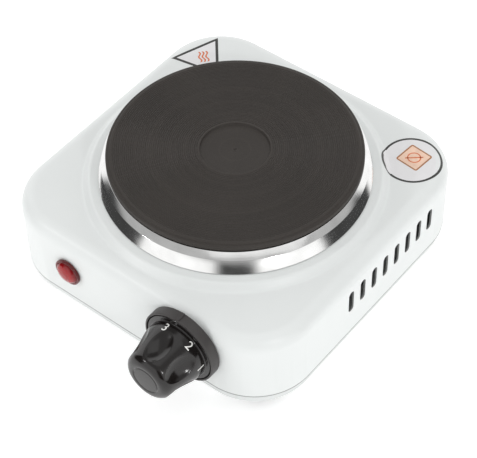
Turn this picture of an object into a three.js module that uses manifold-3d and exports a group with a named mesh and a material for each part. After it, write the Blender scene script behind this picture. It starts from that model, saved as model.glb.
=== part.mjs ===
// Single hot plate: a cast iron plate in a polished trim ring on a square enamelled housing.
// Millimetres, +Z up. The origin is on the resting plane, under the middle of the whole outline.
// The housing's front, with the lamp and the control knob, faces -Y.

import * as THREE from 'three';
import { mergeVertices } from 'three/addons/utils/BufferGeometryUtils.js';
import Module from 'manifold-3d';

const manifold = await Module();
manifold.setup();

// ---------------------------------------------------------------- driving dimensions

// Clearances
const GAP = 0.3;                 // between pieces that rest on or beside each other
const RUNNING = 0.15;            // round a shaft that turns

// Feet and the screws that hold the tray
const FOOT_HEIGHT = 5.5;
const FOOT_R = 8;
const FOOT_TAPER = 0.8;
const SCREW_R = 2;               // M4
const SCREW_HEAD_R = 3.6;
const SCREW_HEAD_HEIGHT = 2.2;
const SCREW_GRIP = 12;           // thread above the tray
const FOOT_WEB = 2.4;            // rubber between the screw head and the tray
const POST_R = 4;                // threaded posts under the housing's corners
const POST_INSET = 17;           // post axis from the housing's sides

// Housing: a deep pressing, open below
const HOUSING_SIDE = 134;
const HOUSING_CORNER = 25.4;
const HOUSING_TOP = 37.7;        // top face above the tray's underside
const HOUSING_EDGE = 6;          // rounding of the top edge
const SKIN = 0.8;                // sheet thickness of housing, tray and ring
const SEAM = 5.5;                // housing's lower edge above the tray's underside

// Boss pressed up round the plate
const BOSS_RISE = 2.5;
const BOSS_LAND = 3.4;           // flat outside the trim ring
const BOSS_SLOPE = 4.7;

// Tray
const TRAY_WALL = 11;
const TRAY_EDGE = 2;
const TRAY_SLOTS = 7;
const TRAY_SLOT_PITCH = 9;
const TRAY_SLOT_WIDTH = 3;
const TRAY_SLOT_LENGTH = 26;

// Vent slots in the two side walls
const VENTS = 8;
const VENT_PITCH = 7.43;
const VENT_WIDTH = 3.2;
const VENT_HEIGHT = 11;
const VENT_CENTRE = 11;          // middle of the row, behind the plate's axis
const VENT_LEVEL = 23.6;

// Cast iron plate and trim ring
const PLATE_R = 50;
const PLATE_LIP = 2.8;
const PLATE_CHAMFER = 0.7;
const PLATE_OVERHANG = 2.4;      // lip outside the plate's skirt
const PLATE_SKIRT = 4.5;         // skirt's wall thickness
const PLATE_WEB = 4.4;           // iron above the element
const RECESS_R = 13.75;
const RECESS_DEPTH = 1;
const PLATE_BOSS_R = 9;
const PLATE_BOSS_BOTTOM = 5;     // boss's end below the boss pressed in the housing
const RING_HEIGHT = 8.8;
const RING_SHOULDER_R = 2.3;     // outside the plate's edge
const RING_SHOULDER_DROP = 2.8;
const RING_FOOT_R = 3.6;         // outside the plate's edge
const RING_FLANGE = 1.7;         // under the plate's lip
const OPENING_CLEARANCE = 1.5;   // housing's round opening outside the plate's skirt

// Element and its insulation
const ELEMENT_R = 2.5;
const ELEMENT_RING = 30;         // radius of the heating ring
const ELEMENT_GAP = 14;          // degrees from the back to each tail
const PIN_R = 1.2;
const PIN_LENGTH = 7;
const TAIL_END = 7;              // sheath's end below the shield
const SHIELD_SKIN = 0.6;

// Clamp that pulls the plate down
const STUD_R = 3;                // M6
const STUD_DEPTH = 8.5;          // in the plate's boss
const BRIDGE_WIDTH = 20;
const BRIDGE_SHEET = 1.5;
const BRIDGE_PAD = 5.5;
const BRIDGE_LEG = 6.5;
const WASHER_R = 9;
const WASHER_HEIGHT = 1.5;
const NUT_ACROSS_FLATS = 10;
const NUT_HEIGHT = 5;
const STUD_TAIL = 2;             // stud beyond the nut

// Control knob, bezel and thermostat, measured from the housing's front face
const KNOB_X = 29.6;
const KNOB_LEVEL = 24.4;
const BEZEL_R = 16;
const BEZEL_DEPTH = 4.7;
const BEZEL_FLOOR = 1.2;
const BEZEL_RIM = 0.8;
const INDEX_WIDTH = 1;
const INDEX_PROUD = 0.4;
const KNOB_FLANGE = 1.2;
const KNOB_BASE_R = 12.8;
const KNOB_END_R = 10.1;
const KNOB_LENGTH = 18.8;        // grip in front of the bezel
const KNOB_END_ROUND = 2.6;
const FLUTES = 6;
const FLUTE_DEPTH = 1.5;
const FLUTE_RADIUS = 3.6;
const FLUTE_FIRST = 30;          // degrees from +X
const SHAFT_R = 3;
const SHAFT_REACH = 15;          // shaft's end in front of the housing
const SHAFT_FLAT = 1;            // depth of the D flat
const BUSH_R = 4.6;
const BUSH_FLANGE = 1.3;
const BRACKET_WIDTH = 26;
const BRACKET_HEIGHT = 14;
const BRACKET_SHEET = 1;
const STAT_SCREW_SPREAD = 10;    // each side of the shaft
const STAT_SCREW_R = 1.5;        // M3
const STAT_SCREW_HEAD_R = 2.6;
const STAT_BASE_WIDTH = 24;
const STAT_BASE_DEPTH = 11;
const CAM_R = 5.5;
const CAM_THICKNESS = 2;
const BLADE_THICKNESS = 0.8;
const BLADE_WIDTH = 6;
const BLADE_SPACER = 3.4;

// Pilot lamp
const LAMP_X = -29.2;
const LAMP_LEVEL = 21.2;
const LENS_R = 5.9;
const LENS_DOME = 2.2;
const LENS_FLANGE = 0.9;
const LENS_STEM_R = 4.7;
const LENS_STEM = 12;
const LENS_WALL = 1;
const BULB_R = 2.7;
const BULB_LENGTH = 8;
const LEAD_R = 0.4;
const LEAD_SPREAD = 1.28;        // each lead from the bulb's axis
const RETAINER_R = 7.4;

// Cable gland in the back wall
const GLAND_X = -28;
const GLAND_LEVEL = 20;
const GLAND_BORE_R = 3.6;
const GLAND_COLLAR_R = 5.5;
const GLAND_FLANGE_R = 8;
const GLAND_FLANGE = 1.6;
const GLAND_SNAP_R = 6.8;

// Terminal blocks, earth point and wires
const BLOCK_POLES = 3;
const BLOCK_PITCH = 10;
const BLOCK_DEPTH = 14;
const BLOCK_HEIGHT = 12;
const BLOCK_FROM_BACK = 23;      // block's middle from the back wall
const BLOCK_SCREW_R = 1.6;
const BLOCK_SCREW_DEPTH = 6;
const CERAMIC_WIDTH = 26;
const CERAMIC_DEPTH = 12;
const CERAMIC_HEIGHT = 8;
const EARTH_FROM_BACK = 20;
const EARTH_BESIDE = 21;         // earth screw from the mains block's side
const EARTH_NUT_ACROSS_FLATS = 7;
const EARTH_NUT_HEIGHT = 3;
const TAG_R = 4;
const TAG_SHEET = 0.8;
const TAG_TAIL = 5;
const WIRE_R = 1.2;
const LAMP_WIRE_R = 0.8;
const WIRE_END = 0.5;            // clearance at each end of a wire

// ---------------------------------------------------------------- sizes worked out from them

const HALF = HOUSING_SIDE / 2;
const BOSS_TOP = HOUSING_TOP + BOSS_RISE;
const RING_BOTTOM = BOSS_TOP + GAP;
const RING_TOP = RING_BOTTOM + RING_HEIGHT;
const LIP_BOTTOM = RING_TOP + GAP;
const PLATE_TOP = LIP_BOTTOM + PLATE_LIP;
const SKIRT_R = PLATE_R - PLATE_OVERHANG;
const SKIRT_BOTTOM = BOSS_TOP + SKIN;
const GROOVE_ROOF = PLATE_TOP - PLATE_WEB;
const BOSS_END = BOSS_TOP - PLATE_BOSS_BOTTOM;
const OPENING_R = SKIRT_R + OPENING_CLEARANCE;
const RING_OUTER = PLATE_R + RING_FOOT_R;
const BOSS_LAND_R = RING_OUTER + BOSS_LAND;
const BOSS_FOOT_R = BOSS_LAND_R + BOSS_SLOPE;
const SHIELD_TOP = BOSS_TOP;
const BRIDGE_TOP = BOSS_END - 2 * GAP - SHIELD_SKIN;
const WASHER_TOP = BRIDGE_TOP - BRIDGE_SHEET - GAP;
const NUT_TOP = WASHER_TOP - WASHER_HEIGHT - GAP;
const STUD_BOTTOM = NUT_TOP - NUT_HEIGHT - STUD_TAIL;
const STUD_TOP = BOSS_END + STUD_DEPTH;
const TRAY_HALF = HALF - SKIN - GAP;
const TRAY_CORNER = HOUSING_CORNER - SKIN - GAP;
const POST_AT = HALF - POST_INSET;
const KNOB_FRONT = BEZEL_DEPTH + KNOB_LENGTH;
const BEZEL_SEAT = GAP + BEZEL_FLOOR + GAP;
const STAT_SCREW_HEAD = BEZEL_DEPTH - KNOB_FLANGE - GAP - BEZEL_SEAT;
const GLAND_BACK = GAP + GLAND_FLANGE;
const TAIL_BOTTOM = SHIELD_TOP - SHIELD_SKIN - TAIL_END;
const TAIL_X = ELEMENT_RING * Math.sin(THREE.MathUtils.degToRad(ELEMENT_GAP));
const TAIL_Y = ELEMENT_RING * Math.cos(THREE.MathUtils.degToRad(ELEMENT_GAP));
const CERAMIC_TOP = TAIL_BOTTOM - GAP;
const BRACKET_INSIDE = BRACKET_HEIGHT / 2 - BRACKET_SHEET - GAP;
const STAT_BASE_FRONT = SKIN + GAP + BRACKET_SHEET + GAP + BUSH_FLANGE + GAP;
const STAT_BASE_BACK = STAT_BASE_FRONT + STAT_BASE_DEPTH;
const CAM_BACK = STAT_BASE_BACK + GAP + CAM_THICKNESS;
const BLOCK_Y = HALF - BLOCK_FROM_BACK;
const EARTH_Y = HALF - EARTH_FROM_BACK;
const BLOCK_HALF = (BLOCK_POLES * BLOCK_PITCH) / 2;
const EARTH_X = GLAND_X + BLOCK_HALF + EARTH_BESIDE;

// ---------------------------------------------------------------- finishes

const FINISHES = {
  enamel: { color: 0xe4e7e6, roughness: 0.3, metalness: 0 },
  polished: { color: 0xc9cacb, roughness: 0.12, metalness: 1 },
  iron: { color: 0x3e3a37, roughness: 0.65, metalness: 0.5 },
  steel: { color: 0x9c9fa2, roughness: 0.4, metalness: 1 },
  zinc: { color: 0xb6b8ba, roughness: 0.35, metalness: 1 },
  brass: { color: 0xb08d4a, roughness: 0.35, metalness: 1 },
  ceramic: { color: 0xded8cc, roughness: 0.7, metalness: 0 },
  cement: { color: 0xb9b3a6, roughness: 0.95, metalness: 0 },
  glossBlack: { color: 0x242120, roughness: 0.18, metalness: 0 },
  mattBlack: { color: 0x3a3736, roughness: 0.6, metalness: 0 },
  rubber: { color: 0x2b2b2b, roughness: 0.85, metalness: 0 },
  redLens: { color: 0xa52a2a, roughness: 0.15, metalness: 0 },
  glass: { color: 0xe8e0d8, roughness: 0.05, metalness: 0 },
  nylon: { color: 0xe9e6dc, roughness: 0.5, metalness: 0 },
  brownWire: { color: 0x6b3f24, roughness: 0.6, metalness: 0 },
  blueWire: { color: 0x2f5f9e, roughness: 0.6, metalness: 0 },
  greenWire: { color: 0x4d8a2f, roughness: 0.6, metalness: 0 },
};

// ---------------------------------------------------------------- helpers

// A closed manifold solid from a closed three.js geometry, whichever way its faces point.
function solidOf(geometry) {
  const plain = geometry.clone();
  plain.deleteAttribute('normal');
  plain.deleteAttribute('uv');
  const merged = mergeVertices(plain, 1e-4);
  const at = merged.attributes.position;
  const index = merged.index.array;
  const corners = [];
  const [a, b, c] = [new THREE.Vector3(), new THREE.Vector3(), new THREE.Vector3()];
  let volume = 0;
  for (let i = 0; i < index.length; i += 3) {
    const [p, q, r] = index.slice(i, i + 3);
    if (p === q || q === r || r === p) continue;
    a.fromBufferAttribute(at, p);
    b.fromBufferAttribute(at, q);
    c.fromBufferAttribute(at, r);
    volume += a.dot(b.cross(c));
    corners.push(p, q, r);
  }
  if (volume < 0) corners.reverse();
  const vertProperties = Float32Array.from(at.array);
  const triVerts = Uint32Array.from(corners);
  return new manifold.Manifold(new manifold.Mesh({ numProp: 3, vertProperties, triVerts }));
}

function geometryOf(solid) {
  const mesh = solid.getMesh();
  const geometry = new THREE.BufferGeometry();
  geometry.setAttribute('position', new THREE.BufferAttribute(mesh.vertProperties, 3));
  geometry.setIndex(new THREE.BufferAttribute(mesh.triVerts, 1));
  geometry.computeVertexNormals();
  return geometry;
}

function join(...geometries) {
  return geometryOf(geometries.map(solidOf).reduce((whole, more) => whole.add(more)));
}

function cut(geometry, ...tools) {
  return geometryOf(tools.map(solidOf).reduce((left, tool) => left.subtract(tool), solidOf(geometry)));
}

// Adds one named piece to a group.
function add(group, name, geometry, finish) {
  const mesh = new THREE.Mesh(geometryOf(solidOf(geometry)), new THREE.MeshStandardMaterial(finish));
  mesh.name = name;
  group.add(mesh);
}

// A solid of revolution about Z from [radius, height] pairs.
function turned(profile, segments = 48) {
  const points = profile.map(([radius, height]) => new THREE.Vector2(radius, height));
  return new THREE.LatheGeometry(points, segments).rotateX(Math.PI / 2);
}

// A ring of revolution, whose profile closes on itself.
function turnedRing(profile, segments = 48) {
  return turned([...profile, profile[0]], segments);
}

// A round bar along Z, between two heights.
function rod(radius, bottom, top, segments = 24) {
  const bar = new THREE.CylinderGeometry(radius, radius, top - bottom, segments).rotateX(Math.PI / 2);
  return bar.translate(0, 0, (bottom + top) / 2);
}

// A round tube along Z, between two heights.
function tube(outer, inner, bottom, top, segments = 24) {
  return turnedRing([[inner, bottom], [outer, bottom], [outer, top], [inner, top]], segments);
}

// A box between two corners.
function block(low, high) {
  const size = high.map((value, i) => value - low[i]);
  const middle = high.map((value, i) => (value + low[i]) / 2);
  return new THREE.BoxGeometry(...size).translate(...middle);
}

function hexagon(acrossFlats, bottom, top) {
  return rod(acrossFlats / Math.sqrt(3), bottom, top, 6);
}

function roundedSquare(half, corner) {
  const shape = new THREE.Shape();
  const straight = half - corner;
  shape.absarc(straight, -straight, corner, -Math.PI / 2, 0);
  shape.absarc(straight, straight, corner, 0, Math.PI / 2);
  shape.absarc(-straight, straight, corner, Math.PI / 2, Math.PI);
  shape.absarc(-straight, -straight, corner, Math.PI, 1.5 * Math.PI);
  shape.closePath();
  return shape;
}

// A rounded square block with its top and bottom edges rounded.
function pillow(half, corner, edge, bottom, top, segments = 2) {
  const settings = {
    depth: top - bottom - 2 * edge,
    bevelEnabled: true,
    bevelSize: edge,
    bevelThickness: edge,
    bevelSegments: segments,
    curveSegments: 4,
  };
  const shape = roundedSquare(half - edge, corner - edge);
  return new THREE.ExtrudeGeometry(shape, settings).translate(0, 0, bottom + edge);
}

// A slot with round ends that runs through along Z, long in X.
function slotTool(length, width, bottom, top) {
  const straight = (length - width) / 2;
  const shape = new THREE.Shape();
  shape.absarc(straight, 0, width / 2, -Math.PI / 2, Math.PI / 2);
  shape.absarc(-straight, 0, width / 2, Math.PI / 2, 1.5 * Math.PI);
  shape.closePath();
  const settings = { depth: top - bottom, bevelEnabled: false, curveSegments: 3 };
  return new THREE.ExtrudeGeometry(shape, settings).translate(0, 0, bottom);
}

// A round tube along a smooth curve through the given points.
function sweep(points, radius, steps, sides = 6) {
  const path = new THREE.CatmullRomCurve3(points.map((point) => new THREE.Vector3(...point)));
  const section = new THREE.Shape();
  section.absarc(0, 0, radius, 0, 2 * Math.PI);
  const settings = { steps, extrudePath: path, curveSegments: sides / 2 };
  return new THREE.ExtrudeGeometry(section, settings);
}

// The four corners as [name, x sign, y sign].
const CORNERS = [
  ['front_left', -1, -1],
  ['front_right', 1, -1],
  ['back_right', 1, 1],
  ['back_left', -1, 1],
];

// ---------------------------------------------------------------- groups

// In "body" z = 0 is the tray's underside, and x = y = 0 is the plate's axis.
const hotPlateBurner = new THREE.Group();
const body = new THREE.Group();
body.position.set(0, (KNOB_FRONT - GLAND_BACK) / 2, FOOT_HEIGHT);
hotPlateBurner.add(body);

// In "front" z points out of the front wall from its face, and y points up.
const front = new THREE.Group();
front.position.set(0, -HALF, 0);
front.rotation.x = Math.PI / 2;
body.add(front);

const control = new THREE.Group();
control.position.set(KNOB_X, KNOB_LEVEL, 0);
front.add(control);

const lamp = new THREE.Group();
lamp.position.set(LAMP_X, LAMP_LEVEL, 0);
front.add(lamp);

// ---------------------------------------------------------------- housing and tray

// The raised boss's outer surface, lowered by "drop" for its underside.
function bossSolid(drop) {
  const top = BOSS_TOP - drop;
  const foot = HOUSING_TOP - drop;
  const below = HOUSING_TOP - HOUSING_EDGE;
  return turned([
    [0, below],
    [BOSS_FOOT_R - drop, below],
    [BOSS_FOOT_R - drop, foot - 0.2],
    [BOSS_FOOT_R - drop - BOSS_SLOPE * 0.12, foot + BOSS_RISE * 0.1],
    [BOSS_FOOT_R - drop - BOSS_SLOPE * 0.8, top - BOSS_RISE * 0.1],
    [BOSS_LAND_R - drop, top],
    [0, top],
  ], 48);
}

// Vent slots through both side walls.
function ventTools() {
  const tools = [];
  for (let i = 0; i < VENTS; i += 1) {
    const y = VENT_CENTRE + (i - (VENTS - 1) / 2) * VENT_PITCH;
    for (const side of [-1, 1]) {
      const tool = slotTool(VENT_HEIGHT, VENT_WIDTH, -3 * SKIN, 3 * SKIN).rotateY(Math.PI / 2);
      tools.push(tool.translate(side * (HALF - SKIN / 2), y, VENT_LEVEL));
    }
  }
  return tools;
}

// Turns a tool that points along +Z so that it points along -Y, through the front wall.
function throughFront(geometry, x, level) {
  return geometry.rotateX(Math.PI / 2).translate(x, -HALF, level);
}

function housing() {
  const deep = -2 * HOUSING_EDGE;
  const outer = join(pillow(HALF, HOUSING_CORNER, HOUSING_EDGE, deep, HOUSING_TOP, 4), bossSolid(0));
  const insideCorner = HOUSING_CORNER - SKIN;
  const insideTop = HOUSING_TOP - SKIN;
  const inside = pillow(HALF - SKIN, insideCorner, HOUSING_EDGE - SKIN, deep - 1, insideTop, 4);
  const below = block([-2 * HALF, -2 * HALF, 2 * deep], [2 * HALF, 2 * HALF, SEAM]);
  const holes = [
    rod(OPENING_R, HOUSING_TOP - HOUSING_EDGE, BOSS_TOP + 1, 48),
    throughFront(rod(BUSH_R + GAP, -3, 3), KNOB_X, KNOB_LEVEL),
    throughFront(rod(LENS_STEM_R + GAP, -3, 3), LAMP_X, LAMP_LEVEL),
    rod(GLAND_COLLAR_R + GAP, -3, 3).rotateX(Math.PI / 2).translate(GLAND_X, HALF, GLAND_LEVEL),
  ];
  for (const side of [-1, 1]) {
    const hole = rod(STAT_SCREW_R + GAP, -3, 3, 12);
    holes.push(throughFront(hole, KNOB_X + side * STAT_SCREW_SPREAD, KNOB_LEVEL));
  }
  return cut(outer, join(inside, bossSolid(SKIN)), below, ...holes, ...ventTools());
}

function tray() {
  const reach = 4 * TRAY_WALL;
  const outer = pillow(TRAY_HALF, TRAY_CORNER, TRAY_EDGE, 0, reach);
  const insideEdge = TRAY_EDGE - SKIN;
  const inside = pillow(TRAY_HALF - SKIN, TRAY_CORNER - SKIN, insideEdge, SKIN, reach + 2 * TRAY_EDGE);
  const above = block([-2 * HALF, -2 * HALF, TRAY_WALL], [2 * HALF, 2 * HALF, 2 * reach]);
  const hole = rod(SCREW_R + GAP, -1, 2, 12);
  const holes = CORNERS.map(([, sx, sy]) => hole.clone().translate(sx * POST_AT, sy * POST_AT, 0));
  holes.push(rod(SCREW_R + GAP, -1, 2).translate(EARTH_X, EARTH_Y, 0));
  for (let i = 0; i < TRAY_SLOTS; i += 1) {
    const x = (i - (TRAY_SLOTS - 1) / 2) * TRAY_SLOT_PITCH;
    const slot = slotTool(TRAY_SLOT_LENGTH, TRAY_SLOT_WIDTH, -1, 2).rotateZ(Math.PI / 2);
    holes.push(slot.translate(x, 0, 0));
  }
  return cut(outer, inside, above, ...holes);
}

// A tapered rubber foot, hollow below for its screw's head.
function foot() {
  const head = FOOT_HEIGHT - GAP - FOOT_WEB;
  const top = FOOT_HEIGHT - GAP;
  return turnedRing([
    [SCREW_R + GAP, head],
    [SCREW_HEAD_R + 2 * GAP, head],
    [SCREW_HEAD_R + 2 * GAP, 0],
    [FOOT_R - FOOT_TAPER, 0],
    [FOOT_R, 1],
    [FOOT_R, top],
    [SCREW_R + GAP, top],
  ], 18).translate(0, 0, -FOOT_HEIGHT);
}

// A cross-recessed pan head screw along Z: head below, thread up to "reach".
function screw(shank, head, headHeight, underside, reach) {
  const round = headHeight * 0.3;
  const solid = turned([
    [0, underside - headHeight],
    [head - round, underside - headHeight],
    [head, underside - headHeight + round],
    [head, underside],
    [shank, underside],
    [shank, reach - 0.5],
    [shank - 0.5, reach],
    [0, reach],
  ], 12);
  const arm = head * 0.6;
  const thin = head * 0.14;
  const low = underside - headHeight - 1;
  const high = underside - headHeight * 0.45;
  const across = block([-arm, -thin, low], [arm, thin, high]);
  const along = block([-thin, -arm, low], [thin, arm, high]);
  return cut(solid, across, along);
}

function buildCasing() {
  add(body, 'housing', housing(), FINISHES.enamel);
  add(body, 'base_tray', tray(), FINISHES.enamel);
  const underside = -FOOT_WEB - 2 * GAP;
  for (const [name, sx, sy] of CORNERS) {
    const [x, y] = [sx * POST_AT, sy * POST_AT];
    const hole = rod(SCREW_R + GAP, 0, SCREW_GRIP + 2, 12);
    const post = cut(rod(POST_R, SKIN + GAP, HOUSING_TOP - SKIN - GAP, 12), hole);
    const fixing = screw(SCREW_R, SCREW_HEAD_R, SCREW_HEAD_HEIGHT, underside, SCREW_GRIP);
    add(body, `corner_post_${name}`, post.translate(x, y, 0), FINISHES.zinc);
    add(body, `foot_${name}`, foot().translate(x, y, 0), FINISHES.rubber);
    add(body, `foot_screw_${name}`, fixing.translate(x, y, 0), FINISHES.zinc);
  }
}

// ---------------------------------------------------------------- plate, ring, element and clamp

function plate() {
  return turned([
    [0, STUD_TOP + GAP],
    [STUD_R + GAP, STUD_TOP + GAP],
    [STUD_R + GAP, BOSS_END],
    [PLATE_BOSS_R, BOSS_END],
    [PLATE_BOSS_R, GROOVE_ROOF],
    [SKIRT_R - PLATE_SKIRT, GROOVE_ROOF],
    [SKIRT_R - PLATE_SKIRT, SKIRT_BOTTOM],
    [SKIRT_R, SKIRT_BOTTOM],
    [SKIRT_R, LIP_BOTTOM],
    [PLATE_R, LIP_BOTTOM],
    [PLATE_R, PLATE_TOP - PLATE_CHAMFER],
    [PLATE_R - PLATE_CHAMFER, PLATE_TOP],
    [RECESS_R, PLATE_TOP],
    [RECESS_R - RECESS_DEPTH, PLATE_TOP - RECESS_DEPTH],
    [0, PLATE_TOP - RECESS_DEPTH],
  ], 48);
}

function trimRing() {
  const shoulder = RING_TOP - RING_SHOULDER_DROP;
  const inner = PLATE_R - RING_FLANGE;
  return turnedRing([
    [inner, RING_TOP - SKIN],
    [PLATE_R - SKIN * 0.4, RING_TOP - SKIN],
    [PLATE_R + RING_SHOULDER_R - SKIN, shoulder - SKIN * 0.4],
    [RING_OUTER - SKIN, RING_BOTTOM],
    [RING_OUTER, RING_BOTTOM],
    [PLATE_R + RING_SHOULDER_R, shoulder],
    [PLATE_R, RING_TOP],
    [inner, RING_TOP],
  ], 48);
}

// Cement that fills the plate's underside, with a channel for the element.
function insulation() {
  const bottom = SKIRT_BOTTOM + GAP;
  const top = GROOVE_ROOF - GAP;
  const channel = ELEMENT_R + 3 * GAP;
  return turnedRing([
    [PLATE_BOSS_R + GAP, bottom],
    [ELEMENT_RING - channel, bottom],
    [ELEMENT_RING - channel, top - SKIN],
    [ELEMENT_RING + channel, top - SKIN],
    [ELEMENT_RING + channel, bottom],
    [SKIRT_R - PLATE_SKIRT - GAP, bottom],
    [SKIRT_R - PLATE_SKIRT - GAP, top],
    [PLATE_BOSS_R + GAP, top],
  ], 32);
}

// A sheathed ring with two tails down through the shield, each ending in a terminal pin.
function element() {
  const level = GROOVE_ROOF - 4 * GAP - SKIN - ELEMENT_R;
  const bend = 5 * ELEMENT_R;
  const points = [[TAIL_X, TAIL_Y, TAIL_BOTTOM], [TAIL_X, TAIL_Y, (TAIL_BOTTOM + level) / 2]];
  const open = THREE.MathUtils.degToRad(ELEMENT_GAP) + bend * 0.45 / ELEMENT_RING;
  const count = 22;
  for (let i = 0; i <= count; i += 1) {
    const angle = Math.PI / 2 - open - (i / count) * 2 * (Math.PI - open);
    points.push([ELEMENT_RING * Math.cos(angle), ELEMENT_RING * Math.sin(angle), level]);
  }
  points.push([-TAIL_X, TAIL_Y, (TAIL_BOTTOM + level) / 2], [-TAIL_X, TAIL_Y, TAIL_BOTTOM]);
  const pins = [-1, 1].map((side) => {
    const pin = rod(PIN_R, TAIL_BOTTOM - PIN_LENGTH, TAIL_BOTTOM + ELEMENT_R, 12);
    return pin.translate(side * TAIL_X, TAIL_Y, 0);
  });
  return join(sweep(points, ELEMENT_R, 56), ...pins);
}

function heatShield() {
  const low = SHIELD_TOP - SHIELD_SKIN;
  const hub = BRIDGE_TOP + GAP;
  const reach = SKIRT_R - 1;
  const dish = turnedRing([
    [STUD_R + 2 * GAP, hub],
    [PLATE_BOSS_R + 1.6, hub],
    [PLATE_BOSS_R + 4, low],
    [reach, low],
    [reach, SHIELD_TOP],
    [PLATE_BOSS_R + 3.6, SHIELD_TOP],
    [PLATE_BOSS_R + 1.2, hub + SHIELD_SKIN],
    [STUD_R + 2 * GAP, hub + SHIELD_SKIN],
  ], 32);
  const holes = [-1, 1].map((side) => {
    const hole = rod(2 * ELEMENT_R, low - 2, SHIELD_TOP + 2);
    return hole.translate(side * (TAIL_X + ELEMENT_R * 0.6), TAIL_Y, 0);
  });
  return cut(dish, ...holes);
}

// A sprung strap under the round opening: its ends press up on the boss's underside.
function clampBridge() {
  const pad = BOSS_TOP - SKIN - GAP;
  const inner = OPENING_R + 1.4;
  const outer = inner + BRIDGE_PAD;
  const knee = inner - BRIDGE_LEG;
  const sheet = BRIDGE_SHEET;
  const shape = new THREE.Shape();
  shape.moveTo(outer, pad);
  shape.lineTo(inner, pad);
  shape.lineTo(knee, BRIDGE_TOP);
  shape.lineTo(-knee, BRIDGE_TOP);
  shape.lineTo(-inner, pad);
  shape.lineTo(-outer, pad);
  shape.lineTo(-outer, pad - sheet);
  shape.lineTo(-inner + sheet * 0.5, pad - sheet);
  shape.lineTo(-knee + sheet * 0.5, BRIDGE_TOP - sheet);
  shape.lineTo(knee - sheet * 0.5, BRIDGE_TOP - sheet);
  shape.lineTo(inner - sheet * 0.5, pad - sheet);
  shape.lineTo(outer, pad - sheet);
  shape.closePath();
  const strap = new THREE.ExtrudeGeometry(shape, { depth: BRIDGE_WIDTH, bevelEnabled: false });
  strap.rotateX(Math.PI / 2).translate(0, BRIDGE_WIDTH / 2, 0);
  return cut(strap, rod(STUD_R + GAP, BRIDGE_TOP - 3 * sheet, BRIDGE_TOP + sheet));
}

function buildPlate() {
  add(body, 'hot_plate', plate(), FINISHES.iron);
  add(body, 'trim_ring', trimRing(), FINISHES.polished);
  add(body, 'element_insulation', insulation(), FINISHES.cement);
  add(body, 'heating_element', element(), FINISHES.steel);
  add(body, 'heat_shield', heatShield(), FINISHES.steel);
  add(body, 'clamp_bridge', clampBridge(), FINISHES.zinc);
  add(body, 'plate_stud', rod(STUD_R, STUD_BOTTOM, STUD_TOP), FINISHES.zinc);
  const washer = tube(WASHER_R, STUD_R + GAP, WASHER_TOP - WASHER_HEIGHT, WASHER_TOP, 20);
  add(body, 'clamp_washer', washer, FINISHES.zinc);
  const nut = hexagon(NUT_ACROSS_FLATS, NUT_TOP - NUT_HEIGHT, NUT_TOP);
  const thread = rod(STUD_R + GAP, NUT_TOP - NUT_HEIGHT - 1, NUT_TOP + 1);
  add(body, 'clamp_nut', cut(nut, thread), FINISHES.zinc);
}

// ---------------------------------------------------------------- knob and thermostat

// Fixed ring behind the knob, with an index rib at the top of its rim.
function bezel() {
  const back = GAP;
  const floor = back + BEZEL_FLOOR;
  const ring = turnedRing([
    [BUSH_R + GAP, back],
    [BEZEL_R, back],
    [BEZEL_R, BEZEL_DEPTH],
    [BEZEL_R - BEZEL_RIM, BEZEL_DEPTH],
    [BEZEL_R - BEZEL_RIM, floor],
    [BUSH_R + GAP, floor],
  ], 40);
  const rib = block(
    [-INDEX_WIDTH / 2, BEZEL_R - BEZEL_RIM, back],
    [INDEX_WIDTH / 2, BEZEL_R + INDEX_PROUD, BEZEL_DEPTH],
  );
  const hole = rod(STAT_SCREW_R + GAP, 0, floor + 1, 12);
  const holes = [-1, 1].map((side) => hole.clone().translate(side * STAT_SCREW_SPREAD, 0, 0));
  return cut(join(ring, rib), ...holes);
}

// The shaft's end with its flat: "spare" is the room left round it.
function shaftEnd(spare, back, reach) {
  const flat = SHAFT_R - SHAFT_FLAT + spare;
  const beyond = SHAFT_R + 2;
  const bar = rod(SHAFT_R + spare, back, reach);
  return cut(bar, block([-beyond, flat, back - 1], [beyond, beyond, reach + 1]));
}

// A fluted grip on a thin flange that turns inside the bezel's rim.
function knob() {
  const back = BEZEL_DEPTH - KNOB_FLANGE;
  const end = KNOB_FRONT;
  const round = KNOB_END_ROUND;
  const profile = [
    [0, back],
    [BEZEL_R - BEZEL_RIM - GAP, back],
    [BEZEL_R - BEZEL_RIM - GAP, BEZEL_DEPTH - 0.3],
    [BEZEL_R - BEZEL_RIM - GAP - 0.4, BEZEL_DEPTH],
    [KNOB_BASE_R, BEZEL_DEPTH + 0.3],
  ];
  const arcs = 4;
  for (let i = 0; i <= arcs; i += 1) {
    const turn = (i / arcs) * Math.PI / 2;
    const radius = KNOB_END_R - round + round * Math.cos(turn);
    profile.push([radius, end - round + round * Math.sin(turn)]);
  }
  profile.push([0, end]);
  const flutes = [];
  const middle = BEZEL_DEPTH + KNOB_LENGTH * 0.55;
  const grip = (KNOB_BASE_R + KNOB_END_R) / 2;
  for (let i = 0; i < FLUTES; i += 1) {
    const angle = THREE.MathUtils.degToRad(FLUTE_FIRST + (i * 360) / FLUTES);
    const reach = grip - FLUTE_DEPTH + FLUTE_RADIUS;
    const scoop = new THREE.SphereGeometry(FLUTE_RADIUS, 12, 8).scale(1, 1, 1.75);
    flutes.push(scoop.translate(reach * Math.cos(angle), reach * Math.sin(angle), middle));
  }
  return cut(turned(profile, 36), ...flutes, shaftEnd(RUNNING, back - 1, SHAFT_REACH + GAP));
}

// The thermostat's spindle, with a cam behind its base.
function shaft() {
  const round = BEZEL_DEPTH - KNOB_FLANGE - GAP;
  const stem = join(rod(SHAFT_R, -CAM_BACK, round), shaftEnd(0, 0, SHAFT_REACH));
  return join(stem, rod(CAM_R, -CAM_BACK, -STAT_BASE_BACK - GAP));
}

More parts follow.
